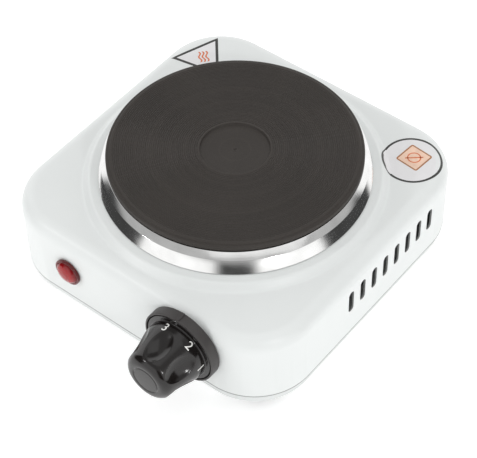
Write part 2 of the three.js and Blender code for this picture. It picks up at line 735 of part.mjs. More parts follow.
function bush() {
  const seat = SKIN + GAP + BRACKET_SHEET + GAP;
  return turnedRing([
    [SHAFT_R + RUNNING, -seat - BUSH_FLANGE],
    [BRACKET_INSIDE, -seat - BUSH_FLANGE],
    [BRACKET_INSIDE, -seat],
    [BUSH_R, -seat],
    [BUSH_R, BEZEL_SEAT],
    [SHAFT_R + RUNNING, BEZEL_SEAT],
  ], 20);
}

// A channel of sheet: its web is screwed to the front wall, its flanges hold the ceramic base.
function bracket() {
  const near = -SKIN - GAP;
  const [wide, high] = [BRACKET_WIDTH / 2, BRACKET_HEIGHT / 2];
  const web = block([-wide, -high, near - BRACKET_SHEET], [wide, high, near]);
  const flanges = [-1, 1].map((side) => {
    const level = side * (high - BRACKET_SHEET / 2);
    const low = [-wide * 0.7, level - BRACKET_SHEET / 2, -STAT_BASE_BACK + 1];
    return block(low, [wide * 0.7, level + BRACKET_SHEET / 2, near]);
  });
  const hole = rod(STAT_SCREW_R + GAP, near - 3, near + 1, 12);
  const holes = [-1, 1].map((side) => hole.clone().translate(side * STAT_SCREW_SPREAD, 0, 0));
  return cut(join(web, ...flanges), rod(BUSH_R + GAP, near - 3, near + 1), ...holes);
}

function thermostatBase() {
  const high = BRACKET_INSIDE;
  const wide = STAT_BASE_WIDTH / 2;
  const whole = block([-wide, -high, -STAT_BASE_BACK], [wide, high, -STAT_BASE_FRONT]);
  const pockets = [-1, 1].map((side) => {
    const pocket = rod(STAT_SCREW_R + 2 * GAP, -STAT_BASE_FRONT - 6, -STAT_BASE_FRONT + 1, 12);
    return pocket.translate(side * STAT_SCREW_SPREAD, 0, 0);
  });
  return cut(whole, rod(SHAFT_R + 2 * GAP, -STAT_BASE_BACK - 1, -STAT_BASE_FRONT + 1), ...pockets);
}

function buildControl() {
  add(control, 'knob_bezel', bezel(), FINISHES.mattBlack);
  add(control, 'control_knob', knob(), FINISHES.glossBlack);
  add(control, 'thermostat_shaft', shaft(), FINISHES.steel);
  add(control, 'thermostat_bush', bush(), FINISHES.brass);
  add(control, 'thermostat_bracket', bracket(), FINISHES.zinc);
  add(control, 'thermostat_base', thermostatBase(), FINISHES.ceramic);
  for (const [name, side] of [['left', -1], ['right', 1]]) {
    const into = STAT_BASE_FRONT + 4;
    const fixing = screw(STAT_SCREW_R, STAT_SCREW_HEAD_R, STAT_SCREW_HEAD, -BEZEL_SEAT, into);
    fixing.rotateX(Math.PI).translate(side * STAT_SCREW_SPREAD, 0, 0);
    add(control, `thermostat_screw_${name}`, fixing, FINISHES.zinc);
  }
  const wide = STAT_BASE_WIDTH / 2;
  const bladeBack = CAM_BACK + GAP + BLADE_THICKNESS;
  const contactFront = bladeBack + GAP + BLADE_SPACER + GAP;
  const postEdge = -CAM_R - 1;
  const half = BLADE_WIDTH / 2;
  const post = block([-wide, -half, -CAM_BACK], [postEdge, half, -STAT_BASE_BACK - GAP]);
  add(control, 'blade_post', post, FINISHES.ceramic);
  const bimetal = block([-wide - 2, -half, -bladeBack], [CAM_R, half, -CAM_BACK - GAP]);
  add(control, 'bimetal_blade', bimetal, FINISHES.brass);
  const spacer = block(
    [-wide, -BLADE_WIDTH / 2, -contactFront + GAP],
    [postEdge, BLADE_WIDTH / 2, -bladeBack - GAP],
  );
  add(control, 'blade_spacer', spacer, FINISHES.ceramic);
  const strip = block(
    [-wide, -BLADE_WIDTH / 2, -contactFront - BLADE_THICKNESS],
    [wide, BLADE_WIDTH / 2, -contactFront],
  );
  const rivet = rod(1.6, -contactFront - 0.1, -contactFront + 1.2, 12).translate(CAM_R - 2, 0, 0);
  add(control, 'contact_blade', join(strip, rivet), FINISHES.brass);
}

// ---------------------------------------------------------------- pilot lamp

// A domed cap with a hollow stem through the front wall.
function lens() {
  const inner = LENS_STEM_R - LENS_WALL;
  const seat = GAP + LENS_FLANGE;
  const profile = [
    [0, GAP],
    [inner, GAP],
    [inner, -LENS_STEM],
    [LENS_STEM_R, -LENS_STEM],
    [LENS_STEM_R, GAP],
    [LENS_R, GAP],
    [LENS_R, seat],
  ];
  const arcs = 5;
  for (let i = 1; i < arcs; i += 1) {
    const turn = (i / arcs) * Math.PI / 2;
    profile.push([LENS_R * Math.cos(turn), seat + LENS_DOME * Math.sin(turn)]);
  }
  return turned([...profile, [0, seat + LENS_DOME]], 24);
}

function bulb() {
  const back = -LENS_STEM + 2.5;
  const glass = turned([
    [0, back],
    [BULB_R, back],
    [BULB_R, back + BULB_LENGTH - BULB_R],
    [BULB_R * 0.7, back + BULB_LENGTH - BULB_R * 0.3],
    [0, back + BULB_LENGTH],
  ], 16);
  const pin = rod(LEAD_R, back - 4, back + 1, 8);
  const leads = [-1, 1].map((side) => pin.clone().translate(side * LEAD_SPREAD, 0, 0));
  return join(glass, ...leads);
}

function buildLamp() {
  add(lamp, 'lamp_lens', lens(), FINISHES.redLens);
  const near = -SKIN - GAP;
  add(lamp, 'lamp_retainer', tube(RETAINER_R, LENS_STEM_R + GAP, near - 1, near, 20), FINISHES.zinc);
  add(lamp, 'neon_bulb', bulb(), FINISHES.glass);
  const cap = rod(LENS_STEM_R, -LENS_STEM - GAP - 1.2, -LENS_STEM - GAP, 24);
  const hole = rod(LEAD_R + GAP, -2 * LENS_STEM, 0, 8);
  const leads = [-1, 1].map((side) => hole.clone().translate(side * LEAD_SPREAD, 0, 0));
  add(lamp, 'lamp_cap', cut(cap, ...leads), FINISHES.nylon);
}

// ---------------------------------------------------------------- gland, terminals and wires

// A snap-in bush: a flange outside, a collar through the back wall and a bead inside.
function gland() {
  const inside = -SKIN - GAP;
  return turnedRing([
    [GLAND_BORE_R, inside - GLAND_FLANGE],
    [GLAND_SNAP_R - 0.6, inside - GLAND_FLANGE],
    [GLAND_SNAP_R, inside],
    [GLAND_COLLAR_R, inside],
    [GLAND_COLLAR_R, GAP],
    [GLAND_FLANGE_R, GAP],
    [GLAND_FLANGE_R - 0.5, GLAND_BACK],
    [GLAND_BORE_R, GLAND_BACK],
  ], 20).rotateX(-Math.PI / 2).translate(GLAND_X, HALF, GLAND_LEVEL);
}

const blockFloor = SKIN + GAP;
const poleX = (pole) => GLAND_X + (pole - (BLOCK_POLES - 1) / 2) * BLOCK_PITCH;

function mainsBlock() {
  const [wide, deep] = [BLOCK_HALF, BLOCK_DEPTH / 2];
  const top = blockFloor + BLOCK_HEIGHT;
  const low = [GLAND_X - wide, BLOCK_Y - deep, blockFloor];
  const whole = block(low, [GLAND_X + wide, BLOCK_Y + deep, top]);
  const holes = [];
  for (let pole = 0; pole < BLOCK_POLES; pole += 1) {
    const hole = rod(BLOCK_SCREW_R + 2 * GAP, top - BLOCK_SCREW_DEPTH - GAP, top + 1, 16);
    holes.push(hole.translate(poleX(pole), BLOCK_Y, 0));
  }
  return cut(whole, ...holes);
}

function slottedScrew(radius, bottom, top) {
  const slit = block([-2 * radius, -0.3, top - 0.8], [2 * radius, 0.3, top + 1]);
  return cut(rod(radius, bottom, top, 16), slit);
}

function ceramicBlock() {
  const [wide, deep] = [CERAMIC_WIDTH / 2, CERAMIC_DEPTH / 2];
  const whole = block(
    [-wide, TAIL_Y - deep, CERAMIC_TOP - CERAMIC_HEIGHT],
    [wide, TAIL_Y + deep, CERAMIC_TOP],
  );
  const holes = [];
  for (const side of [-1, 1]) {
    const pin = rod(WIRE_R + GAP, CERAMIC_TOP - CERAMIC_HEIGHT - 1, CERAMIC_TOP + 1, 16);
    holes.push(pin.translate(side * TAIL_X, TAIL_Y, 0));
    const clamp = rod(BLOCK_SCREW_R + GAP, 0, deep, 16).rotateX(-Math.PI / 2);
    holes.push(clamp.translate(side * TAIL_X, TAIL_Y, CERAMIC_TOP - CERAMIC_HEIGHT / 2));
  }
  return cut(whole, ...holes);
}

function buildTerminals() {
  add(body, 'cable_gland', gland(), FINISHES.mattBlack);
  add(body, 'mains_terminal_block', mainsBlock(), FINISHES.nylon);
  const top = blockFloor + BLOCK_HEIGHT;
  for (let pole = 0; pole < BLOCK_POLES; pole += 1) {
    const fixing = slottedScrew(BLOCK_SCREW_R, top - BLOCK_SCREW_DEPTH, top - 1);
    add(body, `mains_screw_${pole + 1}`, fixing.translate(poleX(pole), BLOCK_Y, 0), FINISHES.brass);
  }
  add(body, 'element_terminal_block', ceramicBlock(), FINISHES.ceramic);
  const reach = CERAMIC_DEPTH / 2 + 0.8;
  for (const [name, side] of [['left', -1], ['right', 1]]) {
    const fixing = slottedScrew(BLOCK_SCREW_R, PIN_R + 2 * GAP, reach).rotateX(-Math.PI / 2);
    fixing.translate(side * TAIL_X, TAIL_Y, CERAMIC_TOP - CERAMIC_HEIGHT / 2);
    add(body, `element_terminal_screw_${name}`, fixing, FINISHES.brass);
  }
}

const tagTop = SKIN + GAP + TAG_SHEET;

function earthTag() {
  const eye = tube(TAG_R, SCREW_R + GAP, SKIN + GAP, tagTop);
  const tail = block([-TAG_R - TAG_TAIL, -1.6, SKIN + GAP], [-TAG_R + 1, 1.6, tagTop]);
  return join(eye, tail).translate(EARTH_X, EARTH_Y, 0);
}

function buildEarth() {
  add(body, 'earth_tag', earthTag(), FINISHES.brass);
  const nutTop = -GAP;
  const fixing = screw(SCREW_R, SCREW_HEAD_R, SCREW_HEAD_HEIGHT, -tagTop - GAP, EARTH_NUT_HEIGHT + 1);
  add(body, 'earth_screw', fixing.rotateX(Math.PI).translate(EARTH_X, EARTH_Y, 0), FINISHES.zinc);
  const nut = hexagon(EARTH_NUT_ACROSS_FLATS, nutTop - EARTH_NUT_HEIGHT, nutTop);
  const thread = rod(SCREW_R + GAP, nutTop - EARTH_NUT_HEIGHT - 1, nutTop + 1);
  add(body, 'earth_nut', cut(nut, thread).translate(EARTH_X, EARTH_Y, 0), FINISHES.zinc);
}

// Each wire leaves and meets its terminals square on, by a short straight stub.
function buildWires() {
  const stub = 4 * WIRE_R;
  const run = SKIN + 4 * WIRE_R;
  const poleY = BLOCK_Y - BLOCK_DEPTH / 2 - WIRE_END;
  const poleLevel = blockFloor + BLOCK_HEIGHT / 2;
  const pinLevel = CERAMIC_TOP - PIN_LENGTH - WIRE_END;
  const ceramicBottom = CERAMIC_TOP - CERAMIC_HEIGHT;
  const statLeft = KNOB_X - STAT_BASE_WIDTH / 2;
  const statRight = KNOB_X + STAT_BASE_WIDTH / 2;
  const bimetalY = -HALF + CAM_BACK + GAP + BLADE_THICKNESS / 2;
  const contactY = bimetalY + BLADE_THICKNESS + 2 * GAP + BLADE_SPACER;
  const lampY = -HALF + LENS_STEM + 2 * WIRE_R + 4;
  const side = HALF - 12;

  const live = [
    [poleX(0), poleY, poleLevel],
    [poleX(0), poleY - stub, poleLevel],
    [poleX(0) + 2, poleY - 16, run],
    [-side * 0.5, -6, run],
    [0, -HALF + 30, run + 2],
    [statLeft - 14, bimetalY, KNOB_LEVEL - 4],
    [statLeft - 2 - WIRE_END - stub, bimetalY, KNOB_LEVEL],
    [statLeft - 2 - WIRE_END, bimetalY, KNOB_LEVEL],
  ];
  add(body, 'wire_live', sweep(live, WIRE_R, 34), FINISHES.brownWire);

  const heater = [
    [statRight + WIRE_END, contactY, KNOB_LEVEL],
    [statRight + WIRE_END + stub, contactY, KNOB_LEVEL],
    [side * 0.9, contactY + 14, KNOB_LEVEL - 8],
    [side * 0.75, -4, run + 1],
    [TAIL_X + 8, TAIL_Y - 8, run + 1],
    [TAIL_X, TAIL_Y, ceramicBottom - stub],
    [TAIL_X, TAIL_Y, pinLevel],
  ];
  add(body, 'wire_heater', sweep(heater, WIRE_R, 34), FINISHES.brownWire);

  const neutral = [
    [poleX(1), poleY, poleLevel],
    [poleX(1), poleY - stub, poleLevel],
    [-TAIL_X - 7, TAIL_Y - 5, run],
    [-TAIL_X, TAIL_Y, ceramicBottom - stub],
    [-TAIL_X, TAIL_Y, pinLevel],
  ];
  add(body, 'wire_neutral', sweep(neutral, WIRE_R, 20), FINISHES.blueWire);

  const tagLevel = SKIN + GAP + WIRE_R;
  const tagEnd = EARTH_X - TAG_R - TAG_TAIL - WIRE_END;
  const beside = (GLAND_X + BLOCK_HALF + tagEnd - stub) / 2;
  const earth = [
    [poleX(2), poleY, poleLevel],
    [poleX(2), poleY - stub, poleLevel],
    [beside, poleY - stub * 0.6, (poleLevel + tagLevel) / 2],
    [tagEnd - stub, EARTH_Y, tagLevel],
    [tagEnd, EARTH_Y, tagLevel],
  ];
  add(body, 'wire_earth', sweep(earth, WIRE_R, 22), FINISHES.greenWire);

  const lampLive = [
    [LAMP_X + LEAD_SPREAD, lampY, LAMP_LEVEL],
    [LAMP_X + LEAD_SPREAD, lampY + stub, LAMP_LEVEL],
    [-2, contactY + 8, KNOB_LEVEL - 2],
    [statLeft - WIRE_END - stub, contactY, KNOB_LEVEL],
    [statLeft - WIRE_END, contactY, KNOB_LEVEL],
  ];
  add(body, 'lamp_wire_live', sweep(lampLive, LAMP_WIRE_R, 20), FINISHES.brownWire);

  const lampNeutral = [
    [LAMP_X - LEAD_SPREAD, lampY, LAMP_LEVEL],
    [LAMP_X - LEAD_SPREAD, lampY + stub, LAMP_LEVEL],
    [-side, 0, run + 8],
    [poleX(1) - 8, poleY - 12, poleLevel + 8],
    [poleX(1), poleY - stub, poleLevel + 4],
    [poleX(1), poleY, poleLevel + 4],
  ];
  add(body, 'lamp_wire_neutral', sweep(lampNeutral, LAMP_WIRE_R, 32), FINISHES.blueWire);
}

// ---------------------------------------------------------------- assembly

buildCasing();
buildPlate();
buildControl();
buildLamp();
buildTerminals();
buildEarth();
buildWires();

export default hotPlateBurner;
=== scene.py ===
"""Hot plate burner: the visible pieces of a single electric hot plate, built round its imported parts.

Lengths are in metres. +Z is up, and the front wall, with the lamp and the knob, faces -Y.
"""

import math

import bpy
from bpy.props import FloatProperty, FloatVectorProperty, IntProperty, PointerProperty
from mathutils import Matrix, Vector


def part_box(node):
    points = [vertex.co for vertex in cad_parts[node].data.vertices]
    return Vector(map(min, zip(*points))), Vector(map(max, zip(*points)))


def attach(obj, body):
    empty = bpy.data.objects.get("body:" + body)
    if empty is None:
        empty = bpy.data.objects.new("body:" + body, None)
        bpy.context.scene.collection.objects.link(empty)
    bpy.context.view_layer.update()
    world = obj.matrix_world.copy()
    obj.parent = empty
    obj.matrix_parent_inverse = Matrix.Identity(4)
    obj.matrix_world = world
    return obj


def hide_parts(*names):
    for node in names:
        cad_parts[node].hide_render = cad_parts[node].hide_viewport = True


bl_info = {
    "name": "Hot plate burner",
    "version": (1, 0, 0),
    "blender": (4, 5, 0),
    "location": "View3D > Sidebar > Hot plate",
    "description": "Builds the visible pieces of a single electric hot plate and its studio",
    "category": "Add Mesh",
}

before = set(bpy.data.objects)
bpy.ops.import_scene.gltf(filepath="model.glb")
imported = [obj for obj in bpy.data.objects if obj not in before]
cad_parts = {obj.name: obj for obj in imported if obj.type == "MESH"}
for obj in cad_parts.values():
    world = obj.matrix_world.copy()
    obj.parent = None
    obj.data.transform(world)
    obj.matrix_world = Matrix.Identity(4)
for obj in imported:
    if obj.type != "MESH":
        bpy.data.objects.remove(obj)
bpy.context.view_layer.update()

MM = 0.001
GAP = 0.3 * MM
UP = Vector((0, 0, 1))
OUT_OF_FRONT = (math.pi / 2, 0, 0)
OUT_OF_BACK = (-math.pi / 2, 0, 0)
DOWNWARD = (math.pi, 0, 0)
UPRIGHT = (0, 0, 0)
CORNERS = ("front_left", "front_right", "back_right", "back_left")

# The font's size over the height of its figures.
FONT_SHARE = 1.42


def middle(node):
    """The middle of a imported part's box."""
    low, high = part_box(node)
    return (low + high) / 2


def half_width(node):
    """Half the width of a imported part's box: the radius of a round part that lies flat or faces front."""
    low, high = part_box(node)
    return (high.x - low.x) / 2


def linear(colour):
    """An sRGB hex colour as linear red, green and blue."""
    parts = [int(colour[i:i + 2], 16) / 255 for i in (1, 3, 5)]
    return tuple(c / 12.92 if c <= 0.04045 else ((c + 0.055) / 1.055) ** 2.4 for c in parts)


# ---------------------------------------------------------------- settings

def length(name, description, millimetres):
    """A length that a user may change."""
    return FloatProperty(name=name, description=description, default=millimetres * MM, unit="LENGTH")


def colour(name, description, value):
    """A colour that a user may change, from sRGB hex."""
    return FloatVectorProperty(
        name=name, description=description, default=linear(value), subtype="COLOR", min=0, max=1)


class HotPlateSizes(bpy.types.PropertyGroup):
    """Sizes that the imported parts' boxes don't give"""

    sheet: length("Sheet", "Thickness of the housing, the tray and the trim ring", 0.8)
    housing_corner: length("Corner radius", "Radius of the housing's upright corners", 25.4)
    housing_edge: length("Edge radius", "Rounding of the housing's top edge", 6)
    boss_rise: length("Boss rise", "Height of the boss pressed up round the plate", 2.5)
    boss_land: length("Boss land", "Flat ring of the boss outside the trim ring", 3.2)
    opening: length("Opening radius", "Round opening under the plate", 49.1)
    vents: IntProperty(name="Vents", description="Slots in each side wall", default=8, min=1)
    vent_pitch: length("Vent pitch", "Distance between neighbouring slots", 7.43)
    vent_width: length("Vent width", "Width of a slot", 3.2)
    vent_height: length("Vent height", "Height of a slot", 11)
    vent_offset: length("Vent offset", "Middle of the row of slots, behind the plate's axis", 11)
    vent_level: length("Vent level", "Middle of the slots above the tray's underside", 23.6)
    tray_edge: length("Tray edge", "Rounding of the tray's lower edge", 2)
    tray_slot: length("Tray slot length", "Length of each slot in the tray", 26)
    tray_slot_width: length("Tray slot width", "Width of each slot in the tray", 3)
    tray_pitch: length("Tray slot pitch", "Distance between the tray's slots", 9)
    tray_slots: IntProperty(name="Tray slots", description="Slots in the tray", default=7, min=1)
    recess: length("Recess radius", "Radius of the plate's dished middle", 13.75)
    recess_depth: length("Recess depth", "Depth of the plate's dished middle", 0.8)
    groove_pitch: length("Groove pitch", "Distance between the plate's turned grooves", 0.8)
    groove_depth: length("Groove depth", "Depth of the plate's turned grooves", 0.22)
    shoulder: length("Ring shoulder", "Width of the trim ring's sloping shoulder", 1.9)
    shoulder_drop: length("Shoulder drop", "Height of the trim ring's sloping shoulder", 2.8)
    flute_length: length("Flute length", "Length of each finger flute on the knob", 14.4)
    flute_width: length("Flute width", "Width of each finger flute on the knob", 8.6)
    flute_depth: length("Flute depth", "Depth of each finger flute on the knob", 2)
    flutes: IntProperty(name="Flutes", description="Finger flutes round the knob", default=6, min=2)
    figure: length("Figure height", "Height of the figures printed on the knob", 3.5)


class HotPlateColours(bpy.types.PropertyGroup):
    """Colours of the finishes"""

    enamel: colour("Enamel", "White stove enamel", "#E6E9E8")
    iron: colour("Cast iron", "Black heatproof coating on cast iron", "#342F2B")
    phenolic: colour("Phenolic", "Black moulded knob", "#141110")
    lens: colour("Lens", "Red pilot lamp lens", "#BE0E18")
    mark: colour("Mark", "Dark outline of the printed marks", "#3A3A38")
    accent: colour("Accent", "Orange of the printed marks", "#D9784E")


class HotPlateStudio(bpy.types.PropertyGroup):
    """Camera and light"""

    azimuth: FloatProperty(
        name="Azimuth", description="Camera's turn to the right of the front", default=math.radians(39.71),
        subtype="ANGLE")
    elevation: FloatProperty(
        name="Elevation", description="Camera's height above the horizon", default=math.radians(48.71),
        subtype="ANGLE")
    roll: FloatProperty(
        name="Roll", description="Camera's roll about its line of sight", default=math.radians(-1.76),
        subtype="ANGLE")
    distance: length("Distance", "Camera's distance from the point it aims at", 672.6)
    lens: FloatProperty(name="Lens", description="Focal length in millimetres", default=124.34)
    aim: FloatVectorProperty(
        name="Aim", description="Point that the camera aims at", default=(-0.0013, 0.0130, 0.0077),
        subtype="XYZ", unit="LENGTH")
    world: FloatProperty(name="World", description="Brightness of the white studio", default=0.8, min=0)


def sizes():
    """The scene's sizes."""
    return bpy.context.scene.hot_plate_sizes


def colours():
    """The scene's colours."""
    return bpy.context.scene.hot_plate_colours


# ---------------------------------------------------------------- modelling by hand

def only(piece):
    """Selects one object and makes it active."""
    bpy.ops.object.select_all(action="DESELECT")
    piece.select_set(True)
    bpy.context.view_layer.objects.active = piece


def edit(piece):
    """Opens a piece in edit mode with all of it selected."""
    only(piece)
    bpy.ops.object.mode_set(mode="EDIT")
    bpy.ops.mesh.select_mode(type="VERT")
    bpy.ops.mesh.select_all(action="SELECT")


def leave():
    """Goes back to object mode."""
    bpy.ops.object.mode_set(mode="OBJECT")


def drawn_out(*step):
    """Extrudes what is selected by a step."""
    bpy.ops.mesh.extrude_region_move(TRANSFORM_OT_translate={"value": step})


def near(first, second):
    """True for two sizes that differ by rounding only."""
    return abs(first - second) < 1e-6


def pick(piece, mode, test):
    """Selects a piece's corners, edges or faces by their place, and stays in edit mode.

    test takes a corner's place, an edge's two ends, or a face's middle and normal.
    """
    edit(piece)
    bpy.ops.mesh.select_mode(type=mode)
    bpy.ops.mesh.select_all(action="DESELECT")
    leave()
    mesh = piece.data
    if mode == "VERT":
        for corner in mesh.vertices:
            corner.select = test(corner.co)
    elif mode == "EDGE":
        for edge in mesh.edges:
            edge.select = test(*(mesh.vertices[i].co for i in edge.vertices))
    else:
        for face in mesh.polygons:
            face.select = test(face.center, face.normal)
    bpy.ops.object.mode_set(mode="EDIT")


def modify(piece, kind, **settings):
    """Adds one modifier and applies it."""
    only(piece)
    modifier = piece.modifiers.new(kind.title(), kind)
    for name, value in settings.items():
        setattr(modifier, name, value)
    bpy.ops.object.modifier_apply(modifier=modifier.name)


def place(piece, at=(0, 0, 0), turn=UPRIGHT):
    """Turns a piece about the origin, moves it, and keeps that place in its mesh."""
    only(piece)
    piece.rotation_euler = turn
    piece.location = at
    kept_in_mesh()


def named(name):
    """Names the active object and its mesh."""
    piece = bpy.context.active_object
    piece.name = name
    piece.data.name = name
    return piece


def started(name, primitive, **settings):
    """Adds a primitive with nothing else selected."""
    bpy.ops.object.select_all(action="DESELECT")
    primitive(**settings)
    return named(name)


def kept_in_mesh():
    """Moves the selected object's place, turn and size into its mesh."""
    bpy.ops.object.transform_apply(location=True, rotation=True, scale=True)


def outline(corners, closed=False, steps=4):
    """Points of an outline whose corners (across, up, radius) are rounded by arcs."""
    points = []
    last = len(corners) - 1
    for i, (across, up, radius) in enumerate(corners):
        here = Vector((across, up))
        if radius == 0 or (not closed and i in (0, last)):
            points.append(here)
            continue
        before = (Vector(corners[i - 1][:2]) - here).normalized()
        after = (Vector(corners[(i + 1) % len(corners)][:2]) - here).normalized()
        half = before.angle(after) / 2
        centre = here + (before + after).normalized() * (radius / math.sin(half))
        start = here + before * (radius / math.tan(half)) - centre
        sweep = math.pi - 2 * half
        sign = 1 if before.cross(after) < 0 else -1
        for step in range(steps + 1):
            turn = Matrix.Rotation(sign * sweep * step / steps, 2)
            points.append(centre + turn @ start)
    return points


def divided(points, longest):
    """The same outline with no stretch longer than the given length."""
    result = [points[0]]
    for start, end in zip(points, points[1:]):
        parts = max(1, math.ceil((end - start).length / longest))
        result += [start.lerp(end, part / parts) for part in range(1, parts + 1)]
    return result


def wire(name, points, closed=False):
    """A chain of edges in the XZ plane, drawn by extruding one corner from point to point."""
    piece = started(name, bpy.ops.mesh.primitive_plane_add, size=MM)
    edit(piece)
    bpy.ops.mesh.merge(type="CENTER")
    bpy.ops.transform.translate(value=(points[0][0], 0, points[0][1]))
    for start, end in zip(points, points[1:]):
        step = (end[0] - start[0], 0, end[1] - start[1])
        bpy.ops.mesh.extrude_vertices_move(TRANSFORM_OT_translate={"value": step})
    leave()
    if closed:
        ends = (points[0], points[-1])
        pick(piece, "VERT", lambda co: any(near(co.x, end[0]) and near(co.z, end[1]) for end in ends))
        bpy.ops.mesh.edge_face_add()
        leave()
    return piece


def turned(name, points, steps=96, closed=False):
    """A solid of revolution about Z from an outline of (radius, height) points."""
    piece = wire(name, points, closed)
    edit(piece)
    bpy.ops.mesh.spin(
        steps=steps, angle=2 * math.pi, use_auto_merge=True, center=(0, 0, 0), axis=(0, 0, 1))
    bpy.ops.mesh.select_all(action="SELECT")
    bpy.ops.mesh.remove_doubles(threshold=1e-6)
    bpy.ops.mesh.normals_make_consistent(inside=False)
    leave()
    return piece


def box(name, low, high):
    """A cube stretched between two corners."""
    low, high = Vector(low), Vector(high)
    piece = started(
        name, bpy.ops.mesh.primitive_cube_add, size=1, location=(low + high) / 2, scale=high - low)
    kept_in_mesh()
    return piece


def round_edges(piece, test, radius, steps):
    """Bevels the edges that test picks by their two ends."""
    pick(piece, "EDGE", test)
    bpy.ops.mesh.bevel(offset=radius, offset_type="OFFSET", segments=steps, profile=0.5, affect="EDGES")
    leave()


def upright(a, b):
    """True for the two ends of an upright edge."""
    return near(a.x, b.x) and near(a.y, b.y)


def delete_faces(piece, test):
    """Deletes the faces that test picks by their middle and normal."""
    pick(piece, "FACE", test)
    bpy.ops.mesh.delete(type="FACE")
    leave()


def copy_of(piece, offset=(0, 0, 0)):
    """A copy with its own mesh, moved by an offset."""
    only(piece)
    bpy.ops.object.duplicate(linked=False)
    twin = bpy.context.active_object
    place(twin, offset)
    return twin


def joined(name, pieces):
    """Makes one piece of several."""
    only(pieces[0])
    for piece in pieces:
        piece.select_set(True)
    bpy.ops.object.join()
    return named(name)


def cut(piece, *tools):
    """Cuts the tools out of a piece, and removes them."""
    tool = joined("cutter", list(tools))
    modify(piece, "BOOLEAN", operation="DIFFERENCE", solver="EXACT", object=tool)
    bpy.data.objects.remove(tool)


def rod(name, radius, bottom, top, sides=48):
    """A round bar along Z."""
    piece = started(
        name, bpy.ops.mesh.primitive_cylinder_add, vertices=sides, radius=radius, depth=top - bottom,
        location=(0, 0, (bottom + top) / 2))
    kept_in_mesh()
    return piece


def slot_tool(width, height, depth):
    """A cutter for a slot with round ends: width along Y, height along Z, running through along X."""
    tool = box("slot", (-depth / 2, -width / 2, -height / 2), (depth / 2, width / 2, height / 2))
    nearly_round = width / 2 - 1e-6
    round_edges(tool, lambda a, b: near(a.y, b.y) and near(a.z, b.z), nearly_round, 8)
    return tool


def soften(piece, width, angle=35, steps=2):
    """Rounds every sharp edge a little, as paint, moulding or tumbling does."""
    modify(piece, "BEVEL", width=width, segments=steps, limit_method="ANGLE",
           angle_limit=math.radians(angle), use_clamp_overlap=True, harden_normals=False)


def smooth(piece, angle=35, weighted=False):
    """Smooth shading up to an angle. Weighted normals keep large flat faces flat."""
    only(piece)
    bpy.ops.object.shade_smooth_by_angle(angle=math.radians(angle))
    if weighted:
        modify(piece, "WEIGHTED_NORMAL", keep_sharp=True, weight=80)


def finished(piece, finish, slot, *nodes, body="base"):
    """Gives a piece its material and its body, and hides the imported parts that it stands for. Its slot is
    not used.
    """
    piece.data.materials.clear()
    piece.data.materials.append(finish)
    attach(piece, body)
    if nodes:
        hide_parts(*nodes)


# ---------------------------------------------------------------- materials

def add_node(tree, kind, inputs=None, output=0, **settings):
    """Adds one node with its settings and links, and gives one of its outputs.

    An input is a value or another node's output.
    """
    made = tree.nodes.new("ShaderNode" + kind)
    for name, value in settings.items():
        setattr(made, name, value)
    for name, value in (inputs or {}).items():
        if isinstance(value, bpy.types.NodeSocket):
            tree.links.new(value, made.inputs[name])
        else:
            made.inputs[name].default_value = value
    return made.outputs[output] if made.outputs else None


def material(name, build):
    """The named finish, made the first time that it is asked for.

    build(tree, point) gives the shader's inputs. A point is a place on the object.
    """
    made = bpy.data.materials.get(name)
    if made is None:
        made = bpy.data.materials.new(name)
        made.use_nodes = True
        tree = made.node_tree
        tree.nodes.clear()
        point = add_node(tree, "TexCoord", output="Object")
        shader = add_node(tree, "BsdfPrincipled", build(tree, point))
        add_node(tree, "OutputMaterial", {"Surface": shader})
    return made


def shade(value, factor=1.0):
    """A linear colour, made darker or lighter by a factor, with the alpha that a socket takes."""
    return (*(min(1, part * factor) for part in value[:3]), 1)


def spots(millimetres, detail=3.0):
    """A noise node's inputs for spots about this many millimetres across."""
    return {"Scale": 1 / (millimetres * MM), "Detail": detail}


def span(low, high, start=0.3, end=0.7):
    """A Map Range node's inputs that stretch start..end, where noise mostly stays, to low..high."""
    return {"From Min": start, "From Max": end, "To Min": low, "To Max": high}


def blended(tree, noise, first, second):
    """Two colours that run into each other where noise rises."""
    share = add_node(tree, "MapRange", {"Value": noise, **span(0, 1)})
    return add_node(tree, "Mix", {0: share, 6: first, 7: second}, 2, data_type="RGBA")


def plain(name, value, spot, rough, height, spread=0.08, **constants):
    """A finish of one colour: grain spots in mm vary its shade and roughness, and give it relief."""
    def build(tree, point):
        grit = add_node(tree, "TexNoise", {"Vector": point, **spots(spot)})
        clouds = add_node(tree, "TexNoise", {"Vector": point, **spots(spot * 14, 2)})
        inputs = {
            "Base Color": blended(tree, clouds, shade(value, 1 - spread), shade(value, 1 + spread)),
            "Roughness": add_node(tree, "MapRange", {"Value": grit, **span(*rough)}),
            "Normal": add_node(tree, "Bump", {"Height": grit, "Distance": height * MM}),
        }
        inputs.update({key.replace("_", " "): constant for key, constant in constants.items()})
        return inputs
    return material(name, build)


def stove_enamel(name="White stove enamel, sprayed", painted_shade_factor=1.0):
    """White stove enamel, sprayed and baked: a satin gloss with the faintest orange peel. A factor below 1
    darkens a copy of it all over, as painted shade.
    """
    def build(tree, point):
        white = colours().enamel
        peel = add_node(tree, "TexNoise", {"Vector": point, **spots(2.4, 1)})
        clouds = add_node(tree, "TexNoise", {"Vector": point, **spots(30, 2)})
        return {
            "Base Color": blended(tree, clouds, shade(white, 0.98 * painted_shade_factor), shade(white, painted_shade_factor)),
            "Roughness": add_node(tree, "MapRange", {"Value": peel, **span(0.32, 0.37)}),
            "Normal": add_node(tree, "Bump", {"Height": peel, "Distance": 0.003 * MM}),
        }
    return material(name, build)


def thin_enamel_painted_shade():
    """Grey enamel, as drawn thin over the sheet's cut edge where the steel greys it; it also serves as
    painted shade in the slots and along the lower edge.
    """
    return plain("White stove enamel, thin over steel", linear("#9A9C9B"), 0.4, (0.4, 0.5), 0.006)


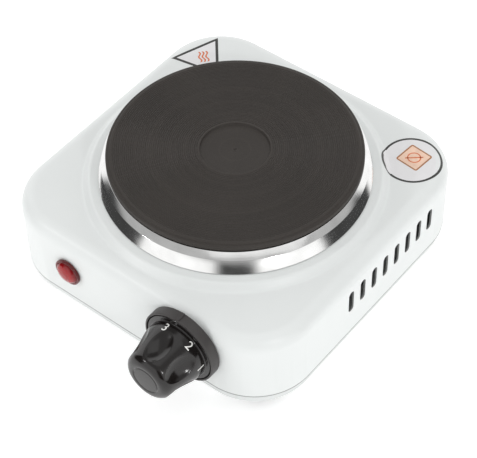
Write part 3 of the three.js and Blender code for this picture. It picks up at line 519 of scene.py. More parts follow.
def from_axis(tree, point, centre, across=(1, 1, 0)):
    """Distance of a point from an axis through a centre. across has a 1 for each direction square to it."""
    away = add_node(tree, "VectorMath", {0: point, 1: tuple(centre)}, operation="SUBTRACT")
    flat = add_node(tree, "VectorMath", {0: away, 1: across}, operation="MULTIPLY")
    return add_node(tree, "VectorMath", {0: flat}, "Value", operation="LENGTH")


def around(tree, point, centre):
    """A place that is the same all round an upright axis, for the marks of a turning or polishing tool."""
    height = add_node(tree, "SeparateXYZ", {0: point}, 2)
    return add_node(tree, "CombineXYZ", {0: from_axis(tree, point, centre), 1: height})


def cast_iron():
    """Cast iron under black heatproof coating, turned on a lathe: matt, sandy, with lighter tool rings."""
    def build(tree, point):
        base = colours().iron
        sand = add_node(tree, "TexNoise", {"Vector": point, **spots(0.45, 4)})
        clouds = add_node(tree, "TexNoise", {"Vector": point, **spots(18)})
        rings = add_node(tree, "TexNoise", {
            "Vector": around(tree, point, middle("hot_plate")), **spots(1.1, 2)})
        coat = blended(tree, clouds, shade(base, 0.9), shade(base, 1.08))
        bare = add_node(tree, "MapRange", {"Value": rings, **span(0, 0.35, 0.5, 0.75)})
        return {
            "Base Color": add_node(tree, "Mix", {
                0: bare, 6: coat, 7: shade(base, 1.5)}, 2, data_type="RGBA"),
            "Metallic": 0.15,
            "Roughness": add_node(tree, "MapRange", {"Value": sand, **span(0.5, 0.68)}),
            "Normal": add_node(tree, "Bump", {"Height": sand, "Distance": 0.03 * MM}),
        }
    return material("Cast iron, turned and coated", build)


def polished_steel():
    """Stainless sheet spun to a ring and polished round it: bright, with hair lines along the ring.

    A bump that falls with height makes its normals lean, so that its wall mirrors the studio's dark gaps.
    """
    lean = -0.55

    def build(tree, point):
        lines = add_node(tree, "TexNoise", {
            "Vector": around(tree, point, middle("trim_ring")), **spots(0.22, 2)})
        height = add_node(tree, "SeparateXYZ", {0: point}, 2)
        rise = add_node(tree, "Math", {0: height, 1: lean}, operation="MULTIPLY")
        leaning = add_node(tree, "Bump", {"Height": rise, "Distance": 1})
        wear = add_node(tree, "TexNoise", {"Vector": point, **spots(9, 2)})
        return {
            "Base Color": blended(tree, wear, shade(linear("#D6D6D5")), shade(linear("#E6E6E5"))),
            "Metallic": 1,
            "Roughness": add_node(tree, "MapRange", {"Value": wear, **span(0.1, 0.16)}),
            "Normal": add_node(tree, "Bump", {"Height": lines, "Distance": 0.005 * MM, "Normal": leaning}),
        }
    return material("Stainless steel, spun and polished", build)


def moulded_phenolic():
    """Black phenolic, compression moulded: deep gloss with slight flow waves."""
    def build(tree, point):
        base = colours().phenolic
        flow = add_node(tree, "TexNoise", {"Vector": point, **spots(6, 1)})
        specks = add_node(tree, "TexNoise", {"Vector": point, **spots(0.35, 2)})
        return {
            "Base Color": blended(tree, specks, shade(base), shade(base, 1.35)),
            "Roughness": add_node(tree, "MapRange", {"Value": specks, **span(0.13, 0.2)}),
            "Specular IOR Level": 0.5,
            "Normal": add_node(tree, "Bump", {"Height": flow, "Distance": 0.02 * MM}),
        }
    return material("Black phenolic, moulded", build)


def matt_nylon():
    """Glass-filled black nylon, moulded in a spark-eroded tool: even, fine grained and dull."""
    return plain("Black nylon, spark-eroded grain", linear("#3B3837"), 0.25, (0.42, 0.55), 0.012)


def lens_acrylic():
    """Red acrylic, injection moulded with facets inside: clear and glossy, darker towards its rim, partly as
    thick acrylic is and partly as painted shade.
    """
    def build(tree, point):
        red = colours().lens
        radius = half_width("lamp_lens")
        flow = add_node(tree, "TexNoise", {"Vector": point, **spots(1.6, 1)})
        facets = add_node(tree, "TexVoronoi", {"Vector": point, "Scale": 1 / (0.9 * MM)})
        out = from_axis(tree, point, middle("lamp_lens"), (1, 0, 1))
        # Painted shade: the red darkens from 60% of the radius out to the rim.
        painted_rim_shade = add_node(tree, "MapRange", {"Value": out, **span(0, 1, radius * 0.6, radius * 0.95)})
        return {
            "Base Color": add_node(tree, "Mix", {
                0: painted_rim_shade, 6: shade(red), 7: shade(red, 0.3)}, 2, data_type="RGBA"),
            "Roughness": add_node(tree, "MapRange", {"Value": flow, **span(0.04, 0.09)}),
            "IOR": 1.49,
            "Transmission Weight": 0.4,
            "Normal": add_node(tree, "Bump", {"Height": facets, "Distance": 0.09 * MM}),
        }
    return material("Red acrylic, moulded", build)


def lamp_glass():
    """Soda glass tube, drawn: clear with a faint warm cast."""
    return plain("Soda glass, drawn", linear("#EFE6DC"), 0.8, (0.04, 0.08), 0.004, Transmission_Weight=0.8)


def foot_rubber():
    """Black nitrile rubber, moulded: dull and slightly rough."""
    return plain("Nitrile rubber, moulded", linear("#2A2A2A"), 0.4, (0.75, 0.92), 0.02)


def zinc_plate():
    """Steel with bright zinc plate: silvery, mottled by its crystals."""
    return plain("Steel, bright zinc plated", linear("#BFC2C4"), 0.5, (0.24, 0.4), 0.006, Metallic=1)


def rolled_steel():
    """Aluminised sheet and heater sheath, rolled: dull silver, faintly spotted."""
    return plain("Steel, aluminised", linear("#9A9A98"), 0.6, (0.34, 0.5), 0.01, Metallic=1)


def turned_brass():
    """Brass, turned or stamped: warm yellow with a fine grain."""
    return plain("Brass, turned", linear("#B8954F"), 0.3, (0.25, 0.38), 0.006, Metallic=1)


def steatite():
    """Steatite ceramic, pressed and fired unglazed: cream, chalky and finely pitted."""
    return plain("Steatite ceramic, fired", linear("#DDD6C8"), 0.3, (0.62, 0.78), 0.02)


def heater_cement():
    """Magnesia cement, packed and baked: grey-buff and grainy."""
    return plain("Magnesia cement, baked", linear("#B5AE9F"), 0.7, (0.85, 0.98), 0.09)


def terminal_nylon():
    """Natural nylon, moulded: milky and softly glossy."""
    return plain("Natural nylon, moulded", linear("#E8E4D8"), 0.6, (0.4, 0.52), 0.01)


def insulation(name, value):
    """Silicone wire insulation, extruded: satin and slightly uneven."""
    return plain(name, linear(value), 1.2, (0.45, 0.6), 0.02)


def printed(name, value):
    """Printed ink, dried hard: one even, satin colour."""
    return plain(name, value, 0.2, (0.35, 0.45), 0.003)


# ---------------------------------------------------------------- housing and tray

def boss_outline(top, ring_radius):
    """The boss from its foot on the top face, over its slope and land, to the round opening."""
    s = sizes()
    foot = half_width("housing") - s.housing_edge - 0.2 * MM
    land = ring_radius + s.boss_land
    peak = top + s.boss_rise
    return outline([
        (foot, top, 0),
        (foot - 0.9 * MM, top, 2 * MM),
        (land + 0.5 * MM, peak, 2 * MM),
        (s.opening, peak, 0),
    ], steps=6)


class HOTPLATE_OT_housing(bpy.types.Operator):
    """Deep-drawn housing: rounded box with a boss round the plate, vent slots and fixing holes"""

    bl_idname = "hotplate.housing"
    bl_label = "Housing"

    def execute(self, context):
        s = sizes()
        low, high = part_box("housing")
        axis = middle("hot_plate")
        top = high.z - s.boss_rise
        shell = box("housing_shell", low, (high.x, high.y, top))
        round_edges(shell, upright, s.housing_corner, 24)
        round_edges(shell, lambda a, b: near(a.z, top) and near(b.z, top), s.housing_edge, 8)
        delete_faces(shell, lambda co, n: abs(n.z) > 0.999)
        section = boss_outline(top, half_width("trim_ring"))
        foot = section[0][0] - 0.01 * MM
        boss = turned("boss", section, 144)
        place(boss, (axis.x, axis.y, 0))
        shell = joined("housing_shell", [shell, boss])

        def on_flat(co):
            return near(co.z, top) and math.hypot(co.x - axis.x, co.y - axis.y) > foot

        pick(shell, "EDGE", lambda a, b: on_flat(a) and on_flat(b))
        bpy.ops.mesh.fill(use_beauty=True)
        bpy.ops.mesh.select_all(action="SELECT")
        bpy.ops.mesh.remove_doubles(threshold=1e-6)
        bpy.ops.mesh.tris_convert_to_quads()
        bpy.ops.mesh.normals_make_consistent(inside=False)
        leave()
        modify(shell, "SOLIDIFY", thickness=s.sheet, offset=-1, use_even_offset=True)
        cut(shell, *self.vents(low, high), *self.holes(low, high))
        soften(shell, 0.3 * MM)
        smooth(shell, 30, weighted=True)
        finished(shell, stove_enamel(), "enamel", "housing")
        self.thin_and_shaded_edges(shell, low.z + 0.55 * MM, high.x - s.sheet, top - s.housing_edge)
        return {"FINISHED"}

    def thin_and_shaded_edges(self, shell, band, wall, edge):
        """Grey enamel in a band along the lower edge and on the cut edges of the slots: partly thin enamel,
        partly painted shade for the seam's shadow and the dark slots.
        """
        shell.data.materials.append(thin_enamel_painted_shade())
        edit(shell)
        bpy.ops.mesh.bisect(plane_co=(0, 0, band), plane_no=(0, 0, 1))
        leave()

        def thin(co, n):
            # The slots' walls get the grey as painted shade, so that the slots look dark.
            shaded_slot_wall = abs(co.x) > wall and abs(n.x) < 0.3 and co.z < edge
            return shaded_slot_wall or co.z < band

        pick(shell, "FACE", thin)
        shell.active_material_index = 1
        bpy.ops.object.material_slot_assign()
        leave()

    def vents(self, low, high):
        """Cutters for the row of slots in each side wall."""
        s = sizes()
        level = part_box("base_tray")[0].z + s.vent_level
        row = middle("hot_plate").y + s.vent_offset - s.vent_pitch * (s.vents - 1) / 2
        first = slot_tool(s.vent_width, s.vent_height, 6 * s.sheet)
        tools = [copy_of(first, (side, row + i * s.vent_pitch, level))
                 for i in range(s.vents) for side in (low.x, high.x)]
        bpy.data.objects.remove(first)
        return tools

    def holes(self, low, high):
        """Cutters for the thermostat's bush and screws, the lamp and the cable gland."""
        reach = 3 * MM
        knob = middle("knob_bezel")
        spread = Vector((middle("thermostat_screw_right").x - knob.x, 0, 0))
        tools = []
        for at, radius, wall in (
            (knob, 4.9, low.y),
            (knob - spread, 1.8, low.y),
            (knob + spread, 1.8, low.y),
            (middle("lamp_lens"), 5, low.y),
            (middle("cable_gland"), 5.8, high.y),
        ):
            tool = rod("hole", radius * MM, -reach, reach)
            place(tool, (at.x, wall, at.z), OUT_OF_FRONT)
            tools.append(tool)
        return tools


class HOTPLATE_OT_tray(bpy.types.Operator):
    """Pressed tray that closes the housing below, with slots for cooling air"""

    bl_idname = "hotplate.tray"
    bl_label = "Base tray"

    def execute(self, context):
        s = sizes()
        low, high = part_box("base_tray")
        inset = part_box("housing")[1].x - high.x
        tray = box("tray_pressing", low, high)
        round_edges(tray, upright, s.housing_corner - inset, 24)
        round_edges(tray, lambda a, b: near(a.z, low.z) and near(b.z, low.z), s.tray_edge, 5)
        delete_faces(tray, lambda co, n: n.z > 0.999)
        modify(tray, "SOLIDIFY", thickness=s.sheet, offset=-1, use_even_offset=True)
        cut(tray, *self.slots(low), *self.holes(low))
        soften(tray, 0.25 * MM)
        smooth(tray, 30, weighted=True)
        # The tray takes a darker copy of the enamel: painted shade.
        shaded_enamel = stove_enamel("White stove enamel, painted shade", 0.93)
        finished(tray, shaded_enamel, "enamel", "base_tray")
        return {"FINISHED"}

    def slots(self, low):
        """Cutters for the row of cooling slots."""
        s = sizes()
        axis = middle("hot_plate")
        first = slot_tool(s.tray_slot_width, s.tray_slot, 6 * s.sheet)
        place(first, turn=(0, math.pi / 2, math.pi / 2))
        row = axis.x - s.tray_pitch * (s.tray_slots - 1) / 2
        tools = [copy_of(first, (row + i * s.tray_pitch, axis.y, low.z)) for i in range(s.tray_slots)]
        bpy.data.objects.remove(first)
        return tools

    def holes(self, low):
        """Cutters for the screws of the feet and the earth lead."""
        radius, reach = 2.3 * MM, 2 * MM
        tools = []
        for node in [f"foot_screw_{corner}" for corner in CORNERS] + ["earth_screw"]:
            at = middle(node)
            tool = rod("hole", radius, -reach, reach)
            place(tool, (at.x, at.y, low.z))
            tools.append(tool)
        return tools


# ---------------------------------------------------------------- plate and trim ring

class HOTPLATE_OT_plate(bpy.types.Operator):
    """Cast iron plate, turned on top with fine rings round a dished middle"""

    bl_idname = "hotplate.plate"
    bl_label = "Hot plate"

    def execute(self, context):
        s = sizes()
        low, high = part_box("hot_plate")
        axis = middle("hot_plate")
        radius = half_width("hot_plate")
        top = high.z
        lip = top - 2.8 * MM
        skirt = radius - 2.4 * MM
        skirt_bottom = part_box("housing")[1].z + 0.8 * MM
        hub = 9 * MM
        roof = top - 4.4 * MM
        stud = half_width("plate_stud") + GAP
        stud_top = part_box("plate_stud")[1].z + GAP
        edge, step = 0.7 * MM, 0.4 * MM
        land = radius - 1.6 * MM
        under = outline([
            (0, stud_top, 0),
            (stud, stud_top, 0),
            (stud, low.z, 0.3 * MM),
            (hub, low.z, 0.8 * MM),
            (hub, roof, 1.2 * MM),
            (skirt - 4.5 * MM, roof, 1.2 * MM),
            (skirt - 4.5 * MM, skirt_bottom, 0.5 * MM),
            (skirt, skirt_bottom, 0.6 * MM),
            (skirt, lip, 0.5 * MM),
            (radius, lip, 0.5 * MM),
            (radius, top - step, edge),
            (land + step, top - step, 0.1 * MM),
            (land, top, 0.2 * MM),
            (land - edge, top, 0),
        ])
        grooves = self.rings(land - edge - 0.1 * MM, s.recess + 0.5 * MM, top, s.groove_depth)
        dish = s.recess - 0.35 * MM
        floor = top - s.recess_depth
        centre = 0.9 * MM
        recess = outline([
            (s.recess + 0.4 * MM, top, 0),
            (s.recess, top, 0.15 * MM),
            (dish, floor, 0.15 * MM),
            (dish - edge, floor, 0),
        ])
        fainter = 0.3 * s.groove_depth
        recess += self.rings(dish - edge - 0.1 * MM, centre + 0.5 * MM, floor, fainter)
        pit = floor - 0.4 * MM
        recess += [Vector((centre, floor)), Vector((centre * 0.4, pit)), Vector((0, pit))]
        plate = turned("plate_casting", under + grooves + recess, 216)
        place(plate, (axis.x, axis.y, 0))
        smooth(plate, 40)
        finished(plate, cast_iron(), "cast_iron", "hot_plate")
        return {"FINISHED"}

    def rings(self, outer, inner, level, depth):
        """V grooves at an even pitch from one radius in to another."""
        count = round((outer - inner) / sizes().groove_pitch)
        pitch = (outer - inner) / count
        points = []
        for i in range(count):
            edge = outer - i * pitch
            points.append(Vector((edge, level)))
            points.append(Vector((edge - pitch * 0.4, level - depth)))
        return points


class HOTPLATE_OT_ring(bpy.types.Operator):
    """Trim ring spun from stainless sheet: a sloping shoulder over a steep wall"""

    bl_idname = "hotplate.ring"
    bl_label = "Trim ring"

    def execute(self, context):
        s = sizes()
        low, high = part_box("trim_ring")
        axis = middle("trim_ring")
        plate = half_width("hot_plate")
        outer = half_width("trim_ring")
        inner = plate - 1.7 * MM
        sheet = s.sheet
        knee = high.z - s.shoulder_drop
        points = outline([
            (inner, high.z - sheet, 0.1 * MM),
            (plate - sheet * 0.4, high.z - sheet, 0.3 * MM),
            (plate + s.shoulder - sheet, knee - sheet * 0.4, 0.4 * MM),
            (outer - sheet, low.z, 0.1 * MM),
            (outer, low.z, 0.15 * MM),
            (plate + s.shoulder, knee, 0.35 * MM),
            (plate, high.z, 0.45 * MM),
            (inner, high.z, 0.1 * MM),
        ], closed=True, steps=5)
        ring = turned("ring_trim", points, 240, closed=True)
        place(ring, (axis.x, axis.y, 0))
        smooth(ring, 50)
        finished(ring, polished_steel(), "polished_steel", "trim_ring")
        return {"FINISHED"}


# ---------------------------------------------------------------- knob and lamp

class HOTPLATE_OT_bezel(bpy.types.Operator):
    """Fixed bezel behind the knob, with an index rib at the top of its rim"""

    bl_idname = "hotplate.bezel"
    bl_label = "Knob bezel"

    def execute(self, context):
        low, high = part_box("knob_bezel")
        centre = middle("knob_bezel")
        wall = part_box("housing")[0].y
        radius = half_width("knob_bezel")
        back, front = wall - high.y, wall - low.y
        rim = 0.8 * MM
        floor = back + 1.2 * MM
        bore = 4.9 * MM
        points = outline([
            (bore, back, 0.15 * MM),
            (radius, back, 0.25 * MM),
            (radius, front, 0.3 * MM),
            (radius - rim, front, 0.2 * MM),
            (radius - rim, floor, 0.3 * MM),
            (bore, floor, 0.15 * MM),
        ], closed=True, steps=3)
        bezel = turned("bezel_ring", points, 120, closed=True)
        self.rib(bezel, radius, high.z - low.z - 2 * radius)
        spread = middle("thermostat_screw_right").x - centre.x
        holes = []
        for side in (-1, 1):
            hole = rod("hole", 1.8 * MM, 0, floor + MM, 24)
            place(hole, (side * spread, 0, 0))
            holes.append(hole)
        cut(bezel, *holes)
        place(bezel, (centre.x, wall, low.z + radius), OUT_OF_FRONT)
        smooth(bezel, 40)
        finished(bezel, matt_nylon(), "matt_black", "knob_bezel")
        return {"FINISHED"}

    def rib(self, bezel, radius, proud):
        """Draws out a narrow band of the rim at its top."""
        narrow = 0.75 * MM
        pick(bezel, "FACE", lambda co, n: abs(co.x) < narrow and n.y > 0.99 and co.y > radius * 0.99)
        drawn_out(0, proud, 0)
        leave()


class HOTPLATE_OT_knob(bpy.types.Operator):
    """Control knob: a fluted grip on a thin flange that turns inside the bezel"""

    bl_idname = "hotplate.knob"
    bl_label = "Control knob"

    def execute(self, context):
        low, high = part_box("control_knob")
        centre = middle("control_knob")
        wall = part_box("housing")[0].y
        bezel_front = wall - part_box("knob_bezel")[0].y
        back, end = wall - high.y, wall - low.y
        flange = half_width("control_knob")
        base, tip = 12.8 * MM, 9.7 * MM
        bore = 3.15 * MM
        bore_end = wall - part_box("thermostat_shaft")[0].y + GAP
        face = 5.6 * MM
        outer = outline([
            (flange, bezel_front - 0.35 * MM, 0),
            (flange - 0.25 * MM, bezel_front - 0.1 * MM, 0.2 * MM),
            (base, bezel_front + 0.1 * MM, 0.5 * MM),
            (base, bezel_front + 4 * MM, 9 * MM),
            (tip, end, 3.8 * MM),
            (face + 0.8 * MM, end, 0),
        ], steps=8)
        points = [Vector(at) for at in ((0, bore_end), (bore, bore_end), (bore, back), (flange, back))]
        points += divided(outer, 0.35 * MM)
        points += outline([
            (face + 0.8 * MM, end, 0),
            (face + 0.4 * MM, end, 0.15 * MM),
            (face, end - 0.25 * MM, 0.2 * MM),
            (face - 0.4 * MM, end, 0.15 * MM),
            (0, end, 0),
        ])[1:]
        knob = turned("knob_grip", points, 252)
        self.flutes(knob, bezel_front, end, base)
        place(knob, (centre.x, wall, centre.z), OUT_OF_FRONT)
        smooth(knob, 50)
        finished(knob, moulded_phenolic(), "gloss_black", "control_knob", body="knob")
        self.figures(knob, Vector((centre.x, wall, centre.z)), bezel_front + 2.7 * MM, base)
        return {"FINISHED"}

    def flutes(self, knob, front, end, radius):
        """Presses each flute in from its middle.

        The knob is squashed meanwhile, so that round dents end up oval.
        """
        s = sizes()
        squash = s.flute_width / s.flute_length
        self.stretch(knob, squash)
        halfway = (front + (end - front) * 0.55) * squash
        close = 0.14 * MM
        first = math.radians(30)
        for i in range(s.flutes):
            angle = first + i * 2 * math.pi / s.flutes
            out = Vector((math.cos(angle), math.sin(angle), 0))
            side = out.cross(UP)
            pick(knob, "VERT", lambda co: (
                abs(co.dot(side)) < close and abs(co.z - halfway) < close and co.dot(out) > radius / 2))
            bpy.ops.transform.translate(
                value=-out * s.flute_depth, use_proportional_edit=True,
                proportional_edit_falloff="INVERSE_SQUARE", proportional_size=s.flute_width / 2)
            leave()
        self.stretch(knob, 1 / squash)

    def stretch(self, knob, factor):
        """Makes the knob longer or shorter."""
        only(knob)
        knob.scale = (1, 1, factor)
        bpy.ops.object.transform_apply(location=False, rotation=False, scale=True)

    def figures(self, knob, centre, level, radius):
        """White figures printed round the base of the grip, their tops towards the housing."""
        font_size = sizes().figure * FONT_SHARE
        wall_frame = Matrix.Translation(centre) @ Matrix.Rotation(math.pi / 2, 4, "X")
        for figure, degrees in (("0", -47), ("1", 4), ("2", 52), ("3", 104)):
            angle = math.radians(degrees)
            out = Vector((math.cos(angle), math.sin(angle), 0))
            right = (-UP).cross(out)
            turn = Matrix((right, -UP, out)).transposed().to_4x4()
            bpy.ops.object.select_all(action="DESELECT")
            bpy.ops.object.text_add()
            text = bpy.context.active_object
            text.data.body = figure
            text.data.size = font_size
            text.data.align_x = "CENTER"
            text.data.align_y = "CENTER"
            bpy.ops.object.convert(target="MESH")
            printing = named(f"figure_{figure}")
            at = Matrix.Translation(out * (radius + 0.1 * MM) + UP * level)
            printing.matrix_world = wall_frame @ at @ turn
            kept_in_mesh()
            edit(printing)
            bpy.ops.mesh.remove_doubles(threshold=1e-6)
            bpy.ops.mesh.quads_convert_to_tris()
            bpy.ops.mesh.subdivide(number_cuts=3)
            leave()
            modify(printing, "SHRINKWRAP", target=knob, wrap_method="NEAREST_SURFACEPOINT",
                   wrap_mode="ABOVE_SURFACE", offset=0.05 * MM)
            modify(printing, "SOLIDIFY", thickness=0.04 * MM, offset=-1)
            ink = printed("White ink, pad printed", linear("#F2F2EE"))
            finished(printing, ink, "gloss_black", body="knob")


class HOTPLATE_OT_lamp(bpy.types.Operator):
    """Pilot lamp lens: a shallow dome on a flange, over a hollow stem with prisms at its end"""

    bl_idname = "hotplate.lamp"
    bl_label = "Pilot lamp"

    def execute(self, context):
        low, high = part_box("lamp_lens")
        centre = middle("lamp_lens")
        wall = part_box("housing")[0].y
        radius = half_width("lamp_lens")
        peak = wall - low.y
        back = wall - high.y
        stem, bore = 4.7 * MM, 3.7 * MM
        flange = GAP + 0.9 * MM
        rim, crease = 0.9 * MM, 0.35 * MM
        rise = peak - flange
        arc = 16
        angles = [math.pi / 2 * i / arc for i in range(arc + 1)]
        dome = [Vector(((radius - rim) * math.cos(a), flange + rise * math.sin(a))) for a in angles]
        roof, tooth, teeth = GAP + 0.6 * MM, 0.5 * MM, 8
        points = [Vector((bore * i / teeth, roof + tooth * (i % 2))) for i in range(teeth + 1)]
        points += outline([
            (bore, roof, 0),
            (bore, back, 0.2 * MM),
            (stem, back, 0.2 * MM),
            (stem, GAP, 0.2 * MM),
            (radius, GAP, 0.2 * MM),
            (radius, flange + crease, 0.35 * MM),
            (radius - rim + 0.1 * MM, flange + crease, 0.2 * MM),
            (radius - rim, flange, 0),
        ])[1:]
        points += dome[1:]
        points[-1] = Vector((0, peak))
        lens = turned("lamp_dome", points, 72)
        place(lens, (centre.x, wall, centre.z), OUT_OF_FRONT)
        smooth(lens, 35)
        finished(lens, lens_acrylic(), "red_lens", "lamp_lens")
        return {"FINISHED"}


# ---------------------------------------------------------------- feet, fixings and gland

def pan_screw(name, shank, head, head_height, reach):
    """A cross-recessed screw along Z: its head is below z = 0, its threaded shank above."""
    pitch = 0.7 * MM if shank > 1.6 * MM else 0.5 * MM
    points = outline([
        (0, -head_height, 0),
        (head * 0.72, -head_height, head_height * 0.5),
        (head, -head_height * 0.35, head_height * 0.25),
        (head, 0, 0.15 * MM),
        (shank, 0, 0),
    ], steps=5)
    for i in range(int(reach / pitch)):
        points.append(Vector((shank * 0.84, (i + 0.5) * pitch)))
        points.append(Vector((shank, (i + 1) * pitch)))
    points += [Vector((shank * 0.7, reach)), Vector((0, reach))]
    screw = turned(name, points, 40)
    arm, thin, deep = head * 0.55, head * 0.13, head_height * 0.55
    top = -head_height - MM
    cut(screw, box("arm", (-arm, -thin, top), (arm, thin, deep - head_height)))
    cut(screw, box("arm", (-thin, -arm, top), (thin, arm, deep - head_height)))
    smooth(screw, 40)
    return screw


class HOTPLATE_OT_feet(bpy.types.Operator):
    """Four rubber feet, each held by a cross-recessed screw"""

    bl_idname = "hotplate.feet"
    bl_label = "Feet and screws"

    def execute(self, context):
        radius = half_width("foot_front_left")
        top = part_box("foot_front_left")[1].z
        well, hole, web = 4.2 * MM, 2.3 * MM, 2.4 * MM
        points = outline([
            (hole, top - web, 0.2 * MM),
            (well, top - web, 0.4 * MM),
            (well, 0, 0.4 * MM),
            (radius - 0.8 * MM, 0, 0.9 * MM),
            (radius, top * 0.45, 0.6 * MM),
            (radius, top, 0.5 * MM),
            (hole, top, 0.2 * MM),
        ], closed=True)
        foot = turned("rubber_foot", points, 64, closed=True)
        smooth(foot, 45)
        head_low, head_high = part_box("foot_screw_front_left")
        head, head_height = half_width("foot_screw_front_left"), 2.2 * MM
        screw = pan_screw("tray_screw", 2 * MM, head, head_height, head_high.z - head_low.z - head_height)
        for corner in CORNERS:
            at = middle(f"foot_{corner}")
            pad = copy_of(foot, (at.x, at.y, 0))
            pad.name = f"rubber_foot_{corner}"
            finished(pad, foot_rubber(), "rubber", f"foot_{corner}")
            fixing = copy_of(screw, (at.x, at.y, head_low.z + head_height))
            fixing.name = f"tray_screw_{corner}"
            finished(fixing, zinc_plate(), "zinc_plate", f"foot_screw_{corner}")
        for spare in (foot, screw):
            bpy.data.objects.remove(spare)
        return {"FINISHED"}


def hex_nut(name, across_flats, height, bore):
    """A hexagon nut along Z, standing on z = 0, with softened corners and a plain round hole."""
    nut = rod(name, across_flats / math.sqrt(3), 0, height, 6)
    round_edges(nut, lambda a, b: near(a.z, b.z), height * 0.1, 2)
    cut(nut, rod("hole", bore, -MM, height + MM))
    smooth(nut, 35)
    return nut


class HOTPLATE_OT_fixings(bpy.types.Operator):
    """The earth screw and its nut under the tray, and the nut that clamps the plate"""

    bl_idname = "hotplate.fixings"
    bl_label = "Earth screw and nuts"

    def execute(self, context):
        low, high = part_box("earth_screw")
        at = middle("earth_screw")
        head, head_height = half_width("earth_screw"), 2.2 * MM
        screw = pan_screw("earth_fixing", 2 * MM, head, head_height, high.z - low.z - head_height)
        place(screw, (at.x, at.y, high.z - head_height), DOWNWARD)
        finished(screw, zinc_plate(), "zinc_plate", "earth_screw")
        for name, node, bore in (("earth_hex_nut", "earth_nut", 2.05), ("clamp_hex_nut", "clamp_nut", 3.05)):
            low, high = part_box(node)
            at = middle(node)
            nut = hex_nut(name, high.y - low.y, high.z - low.z, bore * MM)
            place(nut, (at.x, at.y, low.z))
            finished(nut, zinc_plate(), "zinc_plate", node)
        return {"FINISHED"}


class HOTPLATE_OT_gland(bpy.types.Operator):
    """Snap-in bush where the supply cord passes the back wall"""

    bl_idname = "hotplate.gland"
    bl_label = "Cable gland"

    def execute(self, context):
        low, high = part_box("cable_gland")
        centre = middle("cable_gland")
        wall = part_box("housing")[1].y
        flange = half_width("cable_gland")
        front, back = high.y - wall, low.y - wall
        bore, collar, snap = 3.6 * MM, 5.5 * MM, 6.8 * MM
        inside = -1.1 * MM
        points = outline([
            (bore, back, 0.4 * MM),
            (snap - 0.6 * MM, back, 0.2 * MM),
            (snap, inside, 0.15 * MM),
            (collar, inside, 0),
            (collar, GAP, 0),
            (flange, GAP, 0.25 * MM),
            (flange - 0.4 * MM, front, 0.7 * MM),
            (bore, front, 0.6 * MM),
        ], closed=True)
        gland = turned("gland_bush", points, 72, closed=True)
        place(gland, (centre.x, wall, centre.z), OUT_OF_BACK)
        smooth(gland, 40)
        finished(gland, matt_nylon(), "matt_black", "cable_gland")
        return {"FINISHED"}


# ---------------------------------------------------------------- printed marks

def laid_on(piece, target, height):
    """Lets a flat print down onto the surface below it, and gives it the thickness of ink."""
    modify(piece, "SHRINKWRAP", target=target, wrap_method="PROJECT", use_project_z=True,
           use_positive_direction=False, use_negative_direction=True, offset=height)
    modify(piece, "SOLIDIFY", thickness=0.02 * MM, offset=-1)


def split(piece, cuts):
    """Divides a flat piece so that it can follow a curved surface."""
    edit(piece)
    bpy.ops.mesh.subdivide(number_cuts=cuts)
    leave()
    return piece


def hollowed(piece, width, cuts):
    """Leaves a flat band of the given width along a piece's outline."""
    edit(piece)
    bpy.ops.mesh.inset(thickness=width)
    bpy.ops.mesh.delete(type="FACE")
    leave()
    return split(piece, cuts)


def flat_disc(name, radius, sides, cuts):
    """A flat disc or polygon."""
    circle = bpy.ops.mesh.primitive_circle_add
    return split(started(name, circle, vertices=sides, radius=radius, fill_type="TRIFAN"), cuts)


def flat_frame(name, radius, width, sides, cuts):
    """The outline of a disc or polygon, as a flat band inside its radius."""
    circle = bpy.ops.mesh.primitive_circle_add
    return hollowed(started(name, circle, vertices=sides, radius=radius, fill_type="NGON"), width, cuts)


